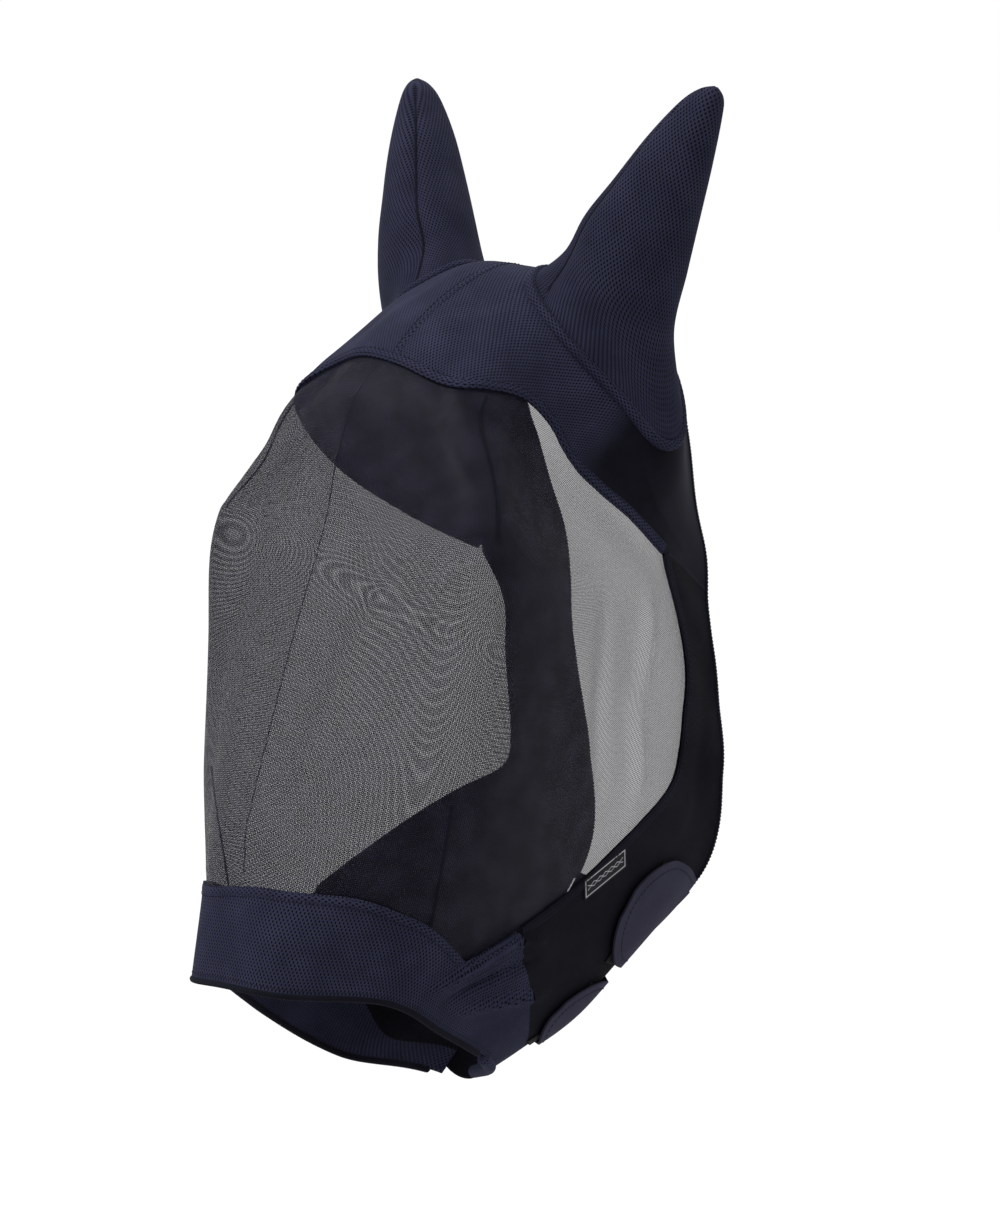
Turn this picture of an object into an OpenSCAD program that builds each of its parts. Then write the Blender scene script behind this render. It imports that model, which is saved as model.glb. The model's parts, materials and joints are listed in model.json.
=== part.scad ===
// Fly mask for a horse: a mesh hood with two ear covers, closed under the jaw by a flap with two
// touch-tape tabs. +Z is up, the horse faces -Y and its left side is +X. The origin is the seat on
// the poll, just under the cloth between the ears.

/* [Head shape] */
// Scale of the hood across the head
head_width = 1; // [0.8:0.01:1.25]
// Scale of the hood from poll to nose
head_length = 1; // [0.8:0.01:1.25]
// How far the cheeks stand out between the eye and the jaw
cheek_bulge = 11; // [4:0.5:20]

/* [Ears] */
// Scale of the ear covers along their length
ear_length = 1; // [0.8:0.01:1.25]
// Scale of the ear covers across
ear_width = 1; // [0.8:0.01:1.15]
// Radius of the padded ring at the foot of each ear
welt_r = 3.4; // [2:0.1:4.5]

/* [Cloth] */
// Thickness of the spacer mesh
cloth_t = 2.4; // [1.4:0.1:3]
// Thickness of the see-through net
net_t = 0.8; // [0.4:0.1:1.2]
// Thickness of tapes, labels and touch-tape patches
tape_t = 0.8; // [0.5:0.1:1]
// Width of the tapes that cover the seams
tape_w = 7; // [4:0.5:10]
// Radius of the elastic binding round the rear edge
binding_r = 3; // [2:0.1:4]
// Radius of the binding round the nose opening
rim_r = 2.4; // [1.5:0.1:4]
// Gap left at a seam, on each side of it
seam_gap = 0.3; // [0.2:0.05:0.5]

/* [Closure] */
// Width of each touch-tape tab
tab_w = 48; // [35:1:50]
// Length of each touch-tape tab
tab_l = 85; // [60:1:95]
// Thickness of the tabs and the flap
tab_t = 1.4; // [1:0.1:2]
// Space between two layers of the closure
layer_gap = 0.4; // [0.3:0.05:1]

/* [Hidden] */

// One station every 50 to 75 mm along the head: crown line [y, z], then three points
// [x, y, z] on the eye ridge, on the cheek and on the rear edge
STATIONS = [
    [[44, -22], [48, 62, -38], [68, 78, -80], [66, 86, -98]],
    [[0, 1.2], [56, 12, -32], [92, 48, -106], [63, 99, -138]],
    [[-54, -11], [62, -38, -42], [93, 34, -136], [59, 110, -172]],
    [[-108, -48], [75, -98, -73], [87, 38, -162], [60, 117, -205]],
    [[-137, -99], [101, -118, -112], [77, 68, -210], [62, 122, -240]],
    [[-153, -152], [121, -137, -154], [78, 76, -253], [61, 128, -276]],
    [[-178, -218], [118, -147, -228], [72, 80, -303], [59, 135, -322]],
    [[-203, -282], [107, -156, -301], [70, 78, -360], [50, 127, -384]],
    [[-227, -356], [88, -167, -376], [62, 4, -449], [28, 40, -445]],
    [[-243, -415], [76, -182, -424], [62, -92, -478], [5, -55, -501]],
];
LAST_U = len(STATIONS) - 1;
LAST_V = 5;
CROWN_SHARE = 0.52;   // how far out the point between crown and eye ridge lies
CROWN_SQUARE = 0.13;  // how far back that point lies
CROWN_DROP = 0.28;    // how far down it lies
CHEEK_SHARE = 0.45;   // how far back the point between eye ridge and cheek lies

// Edge of the net on each side: [u along the head, v out from the crown]
WINDOW = [[3, 3], [3.15, 3.75], [3.4, 3.92], [3.7, 4], [4.5, 4.05], [5.3, 4.05], [5.9, 4],
          [6.3, 3.9], [6.7, 3.6], [7.3, 3.2], [7.7, 2.9], [8, 2.6]];
ROWS = [3, 3.15, 3.4, 3.7, 4.1, 4.5, 4.9, 5.3, 5.6, 5.9, 6.1, 6.3, 6.5, 6.7, 7, 7.3, 7.5, 7.7, 7.85, 8];
HEM_U = 3;
BAND_U = 8;
HALF_NET = 10;        // columns of the net on each side of its middle
CHEEK_COLS = 12;

// Ear hole in each brow panel: middle and radii in [u, v]
EAR_MID = [1.1, 2.4];
EAR_RAD = [0.74, 1.42];
EAR_STEP = [50, 44];   // length of one step of u and of v near the ear hole
// Ear stations: middle [x, y, z], half widths across and front to back, tilt
EAR_STATIONS = [
    [[76, 18, -12], 46, 37, 40], [[87, 21, 18], 36, 34, 30], [[98, 28, 45], 28, 28, 24],
    [[110, 36, 74], 20, 21, 22], [[120, 43, 97], 12, 13, 22], [[126, 47, 111], 3, 3, 22],
];
EAR_LEAN = 12;
EAR_STEPS = 12;       // columns of each half ear
EAR_ROWS = 12;
COLLAR = 7;           // lift of the brow round the ear hole

// Layers of the closure, measured out from the inside of the near cheek
loop_z = cloth_t + layer_gap;
hook_z = loop_z + tape_t + layer_gap;
tab_z = hook_z + tape_t + layer_gap;
flap_z = tab_z - layer_gap - tab_t;
tape_z = cloth_t + layer_gap + 0.2;
net_z = (cloth_t - net_t) / 2;
net_tape_z = net_z + net_t + layer_gap;

FLAP_U = [7.2, 8.84];      // stretch of the jaw that the flap covers
FLAP_V = 4.7;              // where the flap stops on the near cheek
FLAP_SEAM = 2;             // cloth of the flap's own seam, left open for its turn
FLAP_SAG = 7;              // how far the flap bows down between the two edges
TAB_START_V = 4.85;
TAB_U = [7.43, 8.17];      // middles of the two tabs
MM_PER_V = 85;             // length of one step of v beside the jaw
MM_PER_U = 75;             // length of one step of u beside the jaw
tab_half = tab_w / MM_PER_U / 2;
tab_run = tab_l / MM_PER_V;

LABEL = [[7.42, 3.3], [7.12, 3.72]];   // [u, v] of the two ends
LABEL_W = 15;

NAVY = "#2c2d3e";
DARK = "#1b1b26";
NET = "#77767c";
BLACK = "#17171b";

// ---- points on the hood ----
function unit(p) = p / norm(p);
function flip(p) = [-p[0], p[1], p[2]];
function sized(p) = [p[0] * head_width, p[1] * head_length, p[2] * head_length];
function station(s) = let (
        d = [0, s[0][0], s[0][1]],
        e = s[1],
        k = s[2],
        f = [CROWN_SHARE * e[0], d[1] + CROWN_SQUARE * (e[1] - d[1]), d[2] + CROWN_DROP * (e[2] - d[2])],
        g = e + CHEEK_SHARE * (k - e) + [cheek_bulge, 0, 0]
    ) [for (p = [d, f, e, g, k, s[3]]) sized(p)];
FRAME = [for (s = STATIONS) station(s)];
function beyond(a, b) = 2 * a - b;
function wider(r) = concat([flip(r[1])], r, [beyond(r[LAST_V], r[LAST_V - 1])]);
CAGE = let (body = [for (r = FRAME) wider(r)]) concat(
    [beyond(body[0], body[1])], body, [beyond(body[LAST_U], body[LAST_U - 1])]);

// Smooth curve weights through four neighbours, and their slopes
function weight(t) = [-t + 2 * t ^ 2 - t ^ 3, 2 - 5 * t ^ 2 + 3 * t ^ 3,
    t + 4 * t ^ 2 - 3 * t ^ 3, t ^ 3 - t ^ 2] / 2;
function slope(t) = [-1 + 4 * t - 3 * t ^ 2, 9 * t ^ 2 - 10 * t,
    1 + 8 * t - 9 * t ^ 2, 3 * t ^ 2 - 2 * t] / 2;
function mix4(w, p) = w[0] * p[0] + w[1] * p[1] + w[2] * p[2] + w[3] * p[3];
function right_way(v, p) = v < 0 ? [flip(p[0]), flip(p[1])] : p;
// A point of the hood's inside face and its outward direction; v below 0 is the horse's right side
function spot(u, v) = let (
        a = min(max(u, 0), LAST_U),
        b = min(abs(v), LAST_V),
        i = min(floor(a), LAST_U - 1),
        j = min(floor(b), LAST_V - 1),
        wv = weight(b - j),
        sv = slope(b - j),
        wu = weight(a - i),
        across = [for (m = [0:3]) mix4(wv, [for (n = [0:3]) CAGE[i + m][j + n]])],
        turned = [for (m = [0:3]) mix4(sv, [for (n = [0:3]) CAGE[i + m][j + n]])],
        du = mix4(slope(a - i), across),
        dv = mix4(wu, turned)
    ) right_way(v, [mix4(wu, across), unit(cross(du, dv))]);
function out(s, t) = s[0] + t * s[1];
function window_v(u) = lookup(u, WINDOW);

// ---- sheets, tapes and tubes ----
// A grid of spots is turned into a thin closed sheet from t0 to t1 outside the spots;
// edge = how far its first row, last row, first column and last column are drawn in
function drawn(a, b, e) = [a[0] + e * unit(b[0] - a[0]), a[1]];
function trim_rows(g, e0, e1) = let (n = len(g) - 1) [for (i = [0:n])
    i == 0 && e0 != 0 ? [for (j = [0:len(g[0]) - 1]) drawn(g[0][j], g[1][j], e0)] :
    i == n && e1 != 0 ? [for (j = [0:len(g[0]) - 1]) drawn(g[n][j], g[n - 1][j], e1)] : g[i]];
function turn(g) = [for (j = [0:len(g[0]) - 1]) [for (i = [0:len(g) - 1]) g[i][j]]];
function trimmed(g, e) = turn(trim_rows(turn(trim_rows(g, e[0], e[1])), e[2], e[3]));
function quad(a, b, c, d) = [[a, b, c], [a, c, d]];
function flat1(l) = [for (a = l) each a];

module sheet(grid, t0, t1, edge = [0, 0, 0, 0], ring = false) {
    g = trimmed(grid, edge);
    n = len(g);
    m = len(g[0]);
    top = flat1([for (r = g) [for (s = r) out(s, t1)]]);
    low = flat1([for (r = g) [for (s = r) out(s, t0)]]);
    k = n * m;
    wrap = ring ? m : m - 1;
    faces = concat(
        flat1([for (i = [0:n - 2]) for (j = [0:wrap - 1]) let (q = (j + 1) % m)
            quad(i * m + j, i * m + q, (i + 1) * m + q, (i + 1) * m + j)]),
        flat1([for (i = [0:n - 2]) for (j = [0:wrap - 1]) let (q = (j + 1) % m)
            quad(k + i * m + j, k + (i + 1) * m + j, k + (i + 1) * m + q, k + i * m + q)]),
        flat1([for (j = [0:wrap - 1]) let (q = (j + 1) % m)
            quad(j, k + j, k + q, q)]),
        flat1([for (j = [0:wrap - 1]) let (q = (j + 1) % m, b = (n - 1) * m)
            quad(b + j, b + q, k + b + q, k + b + j)]),
        ring ? [] : flat1([for (i = [0:n - 2])
            quad(i * m, (i + 1) * m, k + (i + 1) * m, k + i * m)]),
        ring ? [] : flat1([for (i = [0:n - 2]) let (b = m - 1)
            quad(i * m + b, k + i * m + b, k + (i + 1) * m + b, (i + 1) * m + b)])
    );
    polyhedron(concat(top, low), faces, convexity = 6);
}

function along(path, i, ring) = let (n = len(path), a = ring ? (i + n - 1) % n : max(i - 1, 0),
    b = ring ? (i + 1) % n : min(i + 1, n - 1)) unit(path[b][0] - path[a][0]);
// A tape of the given width that follows a path of spots
module tape(path, w, t0, t1) {
    grid = [for (i = [0:len(path) - 1]) let (side = unit(cross(path[i][1], along(path, i, false))))
        [for (f = [-1, 0, 1]) [path[i][0] + f * w / 2 * side, path[i][1]]]];
    sheet(turn(grid), t0, t1);
}
// A round bead along a path of spots, its middle lift outside them
module bead(path, r, lift, ring = false, sides = 8) {
    n = len(path);
    pts = flat1([for (i = [0:n - 1]) let (
            t = along(path, i, ring),
            s = unit(cross(path[i][1], t)),
            o = unit(cross(t, s)))
        [for (k = [0:sides - 1]) let (a = 360 * k / sides)
            path[i][0] + lift * path[i][1] + r * (cos(a) * s + sin(a) * o)]]);
    last = ring ? n - 1 : n - 2;
    skin = flat1([for (i = [0:last]) for (k = [0:sides - 1]) let (
            i2 = (i + 1) % n,
            k2 = (k + 1) % sides)
        quad(i * sides + k, i2 * sides + k, i2 * sides + k2, i * sides + k2)]);
    ends = ring ? [] : concat(
        [for (k = [1:sides - 2]) [0, k, k + 1]],
        [for (k = [1:sides - 2]) (n - 1) * sides * [1, 1, 1] + [0, k + 1, k]]);
    polyhedron(pts, concat(skin, ends), convexity = 6);
}
function steps(a, b, n) = [for (i = [0:n]) a + (b - a) * i / n];
// Tapes lie over the seams of the cloth, or on the net
module seam_tape(path, w = tape_w) { tape(path, w, tape_z, tape_z + tape_t); }
module net_tape(path, w) { tape(path, w, net_tape_z, net_tape_z + tape_t / 2); }

// ---- face ----
module face_net() {
    color(NET) sheet([for (u = ROWS) [for (f = steps(-1, 1, 2 * HALF_NET)) spot(u, f * window_v(u))]],
        net_z, net_z + net_t, seam_gap * [1, 1, 1, 1]);
}
module net_centre_tape() {
    color(BLACK) net_tape([for (u = steps(3.12, 7.9, 20)) spot(u, 0)], 3);
}
module dart_tape(from, to) {
    color(BLACK) net_tape([for (f = steps(0, 1, 6)) let (p = from + f * (to - from)) spot(p[0], p[1])], 4);
}
UPPER_DART = [[3.12, 1.98], [4.85, 2]];
LOWER_DART = [[7.05, 2], [7.88, 2.08]];
module dart_tape_upper_left() { dart_tape(UPPER_DART[0], UPPER_DART[1]); }
module dart_tape_upper_right() { mirror([1, 0, 0]) dart_tape_upper_left(); }
module dart_tape_lower_left() { dart_tape(LOWER_DART[0], LOWER_DART[1]); }
module dart_tape_lower_right() { mirror([1, 0, 0]) dart_tape_lower_left(); }

// ---- brow ----
function hem_vs() = concat([for (f = steps(0, 1, HALF_NET)) f * window_v(HEM_U)],
    [for (i = [1:CHEEK_COLS]) window_v(HEM_U) + (LAST_V - window_v(HEM_U)) * i / CHEEK_COLS]);
BROW_EDGE = concat(
    [for (v = hem_vs()) [HEM_U, v]],
    [for (i = [1:9]) [HEM_U * (1 - i / 10), LAST_V]],
    [for (i = [0:13]) [0, LAST_V * (1 - i / 14)]],
    [for (i = [0:9]) [HEM_U * i / 10, 0]]
);
function ear_angle(p) = atan2((p[1] - EAR_MID[1]) / EAR_RAD[1], (p[0] - EAR_MID[0]) / EAR_RAD[0]);
function ear_rim(a, more = 0) = EAR_MID + [(EAR_RAD[0] + more / EAR_STEP[0]) * cos(a),
    (EAR_RAD[1] + more / EAR_STEP[1]) * sin(a)];
function brow_spot(p, f) = let (
        q = ear_rim(ear_angle(p), welt_r + 1.5),
        s = spot(q[0] + f * (p[0] - q[0]), q[1] + f * (p[1] - q[1]))
    ) [out(s, COLLAR * (1 - f) ^ 2), s[1]];
module brow_panel() {
    color(NAVY) sheet([for (f = [0, 0.12, 0.3, 0.55, 0.8, 1]) [for (p = BROW_EDGE) brow_spot(p, f)]],
        0, cloth_t, [0, seam_gap, 0, 0], ring = true);
}
module brow_panel_left() { brow_panel(); }
module brow_panel_right() { mirror([1, 0, 0]) brow_panel(); }
module brow_seam_tape() {
    color(NAVY) seam_tape([for (u = steps(0.15, HEM_U - 0.12, 12)) spot(u, 0)], tape_w / 2);
}
module brow_hem() {
    color(NAVY) seam_tape([for (f = steps(-1, 1, 2 * HALF_NET)) spot(HEM_U, f * 2.9)]);
}

// ---- ears ----
function ear_middle(s) = [s[0][0] * head_width, s[0][1] * head_length, s[0][2] * ear_length];
function ear_loop(s, a) = let (
        w = s[1] * ear_width,
        d = s[2] * ear_width,
        across = [cos(s[3]), 0.12, -sin(s[3])],
        deep = [0, cos(EAR_LEAN), -sin(EAR_LEAN)],
        edge = sin(a) * w * across - cos(a) * d * deep
    ) [ear_middle(s) + edge, unit(sin(a) / w * across - cos(a) / d * deep)];
function ear_foot(a, more = 0) = let (
        q = ear_rim(a),
        s = spot(q[0], q[1])
    ) [out(s, COLLAR + more), s[1]];
ear_seat = cloth_t / 2 + welt_r + layer_gap + 0.3;
function ear_line(a) = concat([[ear_foot(a, ear_seat)[0], ear_loop(EAR_STATIONS[0], a)[1]]],
    [for (s = EAR_STATIONS) ear_loop(s, a)]);
function ear_spot(line, f) = let (
        n = len(line) - 1,
        i = min(floor(f * n), n - 1),
        w = weight(f * n - i),
        pick = [for (k = [i - 1:i + 2]) line[min(max(k, 0), n)]],
        way = unit(mix4(slope(f * n - i), [for (p = pick) p[0]])),
        side = mix4(w, [for (p = pick) p[1]])
    ) [mix4(w, [for (p = pick) p[0]]), unit(side - (side * way) * way)];
module ear_half(a0) {
    color(NAVY) sheet(turn([for (a = steps(a0 + 180, a0, EAR_STEPS)) let (line = ear_line(a))
        [for (f = steps(0, 1, EAR_ROWS)) ear_spot(line, f)]]),
        0, cloth_t, [0, 0, seam_gap, seam_gap]);
}
module ear_left_outer() { ear_half(0); }
module ear_left_inner() { ear_half(180); }
module ear_right_outer() { mirror([1, 0, 0]) ear_half(0); }
module ear_right_inner() { mirror([1, 0, 0]) ear_half(180); }
module ear_welt() {
    color(NAVY) bead([for (i = [0:35]) let (a = 10 * i) ear_foot(a)], welt_r, cloth_t / 2, ring = true);
}
module ear_welt_left() { ear_welt(); }
module ear_welt_right() { mirror([1, 0, 0]) ear_welt(); }

// ---- cheeks and nose ----
function cheek_vs(u) = steps(window_v(u), LAST_V, CHEEK_COLS);
module cheek_panel() {
    color(DARK) sheet([for (u = ROWS) [for (v = cheek_vs(u)) spot(u, v)]],
        0, cloth_t, seam_gap * [1, 1, 1, 1]);
}
module cheek_panel_left() { cheek_panel(); }
module cheek_panel_right() { mirror([1, 0, 0]) cheek_panel(); }
module cheek_seam_tape() {
    color(DARK) seam_tape([for (v = steps(3.2, 4.86, 8)) spot(HEM_U, v)], tape_w / 2);
}
module cheek_seam_tape_left() { cheek_seam_tape(); }
module cheek_seam_tape_right() { mirror([1, 0, 0]) cheek_seam_tape(); }
module window_tape() {
    color(DARK) seam_tape([for (u = ROWS) if (u > 3.2 && u < 7.95) spot(u, window_v(u))]);
}
module window_tape_left() { window_tape(); }
module window_tape_right() { mirror([1, 0, 0]) window_tape(); }
module nose_tape() {
    color(NAVY) seam_tape([for (f = steps(-1, 1, 2 * HALF_NET)) spot(BAND_U, f * 2.45)], tape_w / 2);
}
function half_band_vs() = concat([for (f = steps(0, 1, HALF_NET)) f * window_v(BAND_U)],
    [for (i = [1:CHEEK_COLS]) cheek_vs(BAND_U)[i]]);
function band_vs() = let (h = half_band_vs(), n = len(h)) concat([for (i = [n - 1:-1:1]) -h[i]], h);
module nose_band() {
    color(NAVY) sheet([for (u = steps(BAND_U, LAST_U, 4)) [for (v = band_vs()) spot(u, v)]], 0, cloth_t,
        [seam_gap, rim_r + 3 * layer_gap, 0, 0]);
}
ROLL_V = [3.75, 4.75];
module nose_rim_binding() {
    color(DARK) bead([for (v = steps(-4.9, ROLL_V[0] - 0.12, 40)) spot(LAST_U, v)], rim_r, cloth_t / 2);
}
module chin_roll() {
    color(NAVY) bead([for (v = steps(ROLL_V[0], ROLL_V[1], 8)) let (s = spot(LAST_U, v))
        [s[0] + (rim_r - layer_gap) * unit(s[0] - spot(LAST_U - 0.1, v)[0]), s[1]]], rim_r + 1.2, cloth_t / 2);
}
REAR_END_U = 7.05;
function rear_path() = concat(
    [for (u = steps(REAR_END_U, 0.4, 26)) spot(u, -LAST_V)],
    [for (v = steps(-4.8, 4.8, 28)) spot(0, v)],
    [for (u = steps(0.4, REAR_END_U, 26)) spot(u, LAST_V)]
);
module rear_edge_binding() {
    color(DARK) bead(rear_path(), binding_r, cloth_t + binding_r + 2 * layer_gap);
}
module label_patch() {
    path = [for (f = steps(0, 1, 5)) let (p = LABEL[0] + f * (LABEL[1] - LABEL[0])) spot(p[0], p[1])];
    color(BLACK) seam_tape(path, LABEL_W);
}

// ---- closure ----
module patch(us, vs, z) {
    color(BLACK) sheet([for (u = steps(us[0], us[1], 4)) [for (v = steps(vs[0], vs[1], 8)) spot(u, v)]],
        z, z + tape_t);
}
LOOP_V = [3.9, 4.64];
HOOK_V = [4.08, 4.6];
module loop_patch_upper() {
    patch(TAB_U[0] * [1, 1] + tab_half * [-0.9, 1], LOOP_V, loop_z);
}
module loop_patch_lower() {
    patch(TAB_U[1] * [1, 1] + tab_half * [-0.9, 1.25], LOOP_V, loop_z);
}
// The flap leaves the far edge of the jaw, bows under the throat and laps over the near cheek
function flap_bridge(u, f) = let (
        a = spot(u, -LAST_V),
        b = spot(u, LAST_V),
        n = unit((1 - f) * a[1] + f * b[1] + [0, 0, -0.6 * f * (1 - f)])
    ) [(1 - f) * a[0] + f * b[0] + (f * flap_z + 4 * f * (1 - f) * FLAP_SAG) * n, n];
function flap_lap(u, v) = let (s = spot(u, v)) [out(s, flap_z), s[1]];
function flap_row(u) = concat([for (f = steps(0, 1, 7)) flap_bridge(u, f)],
    [for (v = [4.9, 4.8, FLAP_V]) flap_lap(u, v)]);
FLAP_GRID = [for (u = steps(FLAP_U[0], FLAP_U[1], 10)) flap_row(u)];
module closure_flap() {
    color(DARK) sheet(FLAP_GRID, 0, tab_t, [0, 0, FLAP_SEAM, 0]);
}
// A tab narrows to a round end; f runs along it
function tab_width(f) = f < 0.65 ? 1 : sqrt(1 - 0.94 * ((f - 0.65) / 0.35) ^ 2);
TAB_STEPS = concat(steps(0, 0.6, 5), [0.7, 0.79, 0.87, 0.93, 0.97, 1]);
module tab(mid) {
    color(NAVY) sheet([for (k = steps(-1, 1, 6)) [for (f = TAB_STEPS)
        spot(mid + k * tab_half * tab_width(f), TAB_START_V - f * tab_run)]], tab_z, tab_z + tab_t);
}
module tab_upper() { tab(TAB_U[0]); }
module tab_lower() { tab(TAB_U[1]); }
module hook_patch(mid) {
    patch(mid * [1, 1] + tab_half * [-0.8, 0.8], HOOK_V, hook_z);
}
module hook_patch_upper() { hook_patch(TAB_U[0]); }
module hook_patch_lower() { hook_patch(TAB_U[1]); }

// ---- what is drawn ----
face_net();
net_centre_tape();
dart_tape_upper_left();
dart_tape_upper_right();
dart_tape_lower_left();
dart_tape_lower_right();
brow_panel_left();
brow_panel_right();
brow_seam_tape();
brow_hem();
window_tape_left();
window_tape_right();
nose_tape();
cheek_panel_left();
cheek_panel_right();
cheek_seam_tape_left();
cheek_seam_tape_right();
nose_band();
nose_rim_binding();
chin_roll();
rear_edge_binding();
ear_left_outer();
ear_left_inner();
ear_right_outer();
ear_right_inner();
ear_welt_left();
ear_welt_right();
label_patch();
loop_patch_upper();
loop_patch_lower();
closure_flap();
tab_upper();
tab_lower();
hook_patch_upper();
hook_patch_lower();
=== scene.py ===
import json
import math

import bpy
import numpy as np
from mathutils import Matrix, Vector


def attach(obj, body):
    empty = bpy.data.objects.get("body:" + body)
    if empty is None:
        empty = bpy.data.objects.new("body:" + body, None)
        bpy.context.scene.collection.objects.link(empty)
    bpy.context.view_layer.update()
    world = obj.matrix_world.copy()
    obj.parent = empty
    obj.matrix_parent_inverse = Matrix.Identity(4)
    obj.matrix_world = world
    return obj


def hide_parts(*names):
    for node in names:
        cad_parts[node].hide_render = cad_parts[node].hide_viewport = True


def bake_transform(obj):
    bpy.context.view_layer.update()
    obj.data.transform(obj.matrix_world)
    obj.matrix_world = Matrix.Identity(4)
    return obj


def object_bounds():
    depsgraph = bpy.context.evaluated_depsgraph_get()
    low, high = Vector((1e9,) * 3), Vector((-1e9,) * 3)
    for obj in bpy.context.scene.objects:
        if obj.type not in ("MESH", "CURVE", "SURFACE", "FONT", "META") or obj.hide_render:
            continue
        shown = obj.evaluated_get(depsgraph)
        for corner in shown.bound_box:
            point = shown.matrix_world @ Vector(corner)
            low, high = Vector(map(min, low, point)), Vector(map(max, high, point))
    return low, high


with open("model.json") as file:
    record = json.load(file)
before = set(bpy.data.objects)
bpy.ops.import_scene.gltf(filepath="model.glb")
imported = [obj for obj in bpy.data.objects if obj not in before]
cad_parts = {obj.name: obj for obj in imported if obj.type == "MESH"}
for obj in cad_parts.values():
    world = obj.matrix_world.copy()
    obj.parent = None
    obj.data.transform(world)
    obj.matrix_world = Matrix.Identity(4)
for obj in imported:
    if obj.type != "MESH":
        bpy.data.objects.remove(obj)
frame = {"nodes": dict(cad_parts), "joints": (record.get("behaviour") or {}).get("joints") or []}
bpy.ops.object.select_all(action="DESELECT")
cadLow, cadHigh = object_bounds()
print("frame loaded:", len(frame["nodes"]), "nodes")

# ---- the surface that every panel lies on ----
# u runs from the poll (0) to the nose rim (9), v from the crown line (0) to the rear edge (5);
# v below 0 is the horse's right side. Stations are in millimetres, as in the part's source:
# crown line (y, z), then the eye ridge, the cheek and the rear edge
hood = {
    "stations": [
        [(44, -22), (48, 62, -38), (68, 78, -80), (66, 86, -98)],
        [(0, 1.2), (56, 12, -32), (92, 48, -106), (63, 99, -138)],
        [(-54, -11), (62, -38, -42), (93, 34, -136), (59, 110, -172)],
        [(-108, -48), (75, -98, -73), (87, 38, -162), (60, 117, -205)],
        [(-137, -99), (101, -118, -112), (77, 68, -210), (62, 122, -240)],
        [(-153, -152), (121, -137, -154), (78, 76, -253), (61, 128, -276)],
        [(-178, -218), (118, -147, -228), (72, 80, -303), (59, 135, -322)],
        [(-203, -282), (107, -156, -301), (70, 78, -360), (50, 127, -384)],
        [(-227, -356), (88, -167, -376), (62, 4, -449), (28, 40, -445)],
        [(-243, -415), (76, -182, -424), (62, -92, -478), (5, -55, -501)],
    ],
    "crownShare": 0.52,
    "crownSquare": 0.16,
    "crownDrop": 0.28,
    "cheekShare": 0.45,
    "cheekBulge": 11,
    "cloth": 0.0024,
    "lastU": 9,
    "lastV": 5,
}
mirror = np.array([-1.0, 1.0, 1.0])


def stationRow(station):
    crown = np.array([0, *station[0]], float)
    ridge, cheek, rear = (np.array(p, float) for p in station[1:])
    shoulder = np.array([
        hood["crownShare"] * ridge[0],
        crown[1] + hood["crownSquare"] * (ridge[1] - crown[1]),
        crown[2] + hood["crownDrop"] * (ridge[2] - crown[2]),
    ])
    bulge = ridge + hood["cheekShare"] * (cheek - ridge) + (hood["cheekBulge"], 0, 0)
    return [shoulder * mirror, crown, shoulder, ridge, bulge, cheek, rear, 2 * rear - cheek]


cage = np.array([stationRow(s) for s in hood["stations"]]) * 0.001
cage = np.concatenate([2 * cage[:1] - cage[1:2], cage, 2 * cage[-1:] - cage[-2:-1]])


def curveWeights(t):
    return 0.5 * np.stack(
        [-t + 2 * t**2 - t**3, 2 - 5 * t**2 + 3 * t**3, t + 4 * t**2 - 3 * t**3, t**3 - t**2], -1
    )


def curveSlopes(t):
    return 0.5 * np.stack(
        [-1 + 4 * t - 3 * t**2, 9 * t**2 - 10 * t, 1 + 8 * t - 9 * t**2, 3 * t**2 - 2 * t], -1
    )


def unit(p):
    return p / np.maximum(np.linalg.norm(p, axis=-1, keepdims=True), 1e-12)


def spot(u, v):
    # points of the hood's inside face and their outward directions
    u, v = np.broadcast_arrays(np.asarray(u, float), np.asarray(v, float))
    a = np.clip(u, 0, hood["lastU"] - 1e-9)
    b = np.clip(np.abs(v), 0, hood["lastV"] - 1e-9)
    i, j = a.astype(int), b.astype(int)
    four = np.arange(4)
    near = cage[i[..., None, None] + four[:, None], j[..., None, None] + four]
    along, across = curveWeights(a - i), curveWeights(b - j)
    place = np.einsum("...m,...n,...mnk->...k", along, across, near)
    du = np.einsum("...m,...n,...mnk->...k", curveSlopes(a - i), across, near)
    dv = np.einsum("...m,...n,...mnk->...k", along, curveSlopes(b - j), near)
    outward = unit(np.cross(du, dv))
    onRight = (v < 0)[..., None]
    return np.where(onRight, place * mirror, place), np.where(onRight, outward * mirror, outward)


def smooth(low, high, x):
    t = np.clip((x - low) / (high - low), 0, 1)
    return t * t * (3 - 2 * t)


def through(points, closed=False):
    # a smooth line through (u, v) points; the line is read at shares of its length
    p = np.array(points, float)
    if closed:
        p = np.concatenate([p[-1:], p, p[:2]])
    else:
        p = np.concatenate([2 * p[:1] - p[1:2], p, 2 * p[-1:] - p[-2:-1]])
    fine = []
    for k in range(len(p) - 3):
        fine.append(curveWeights(np.linspace(0, 1, 24, endpoint=False)) @ p[k:k + 4])
    fine = np.concatenate([*fine, p[-2:-1]])
    place, _ = spot(fine[:, 0], fine[:, 1])
    run = np.concatenate([[0], np.cumsum(np.linalg.norm(np.diff(place, axis=0), axis=1))])
    run /= run[-1]

    def read(share):
        share = np.asarray(share, float)
        return np.stack([np.interp(share, run, fine[:, 0]), np.interp(share, run, fine[:, 1])], -1)

    return read


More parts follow.
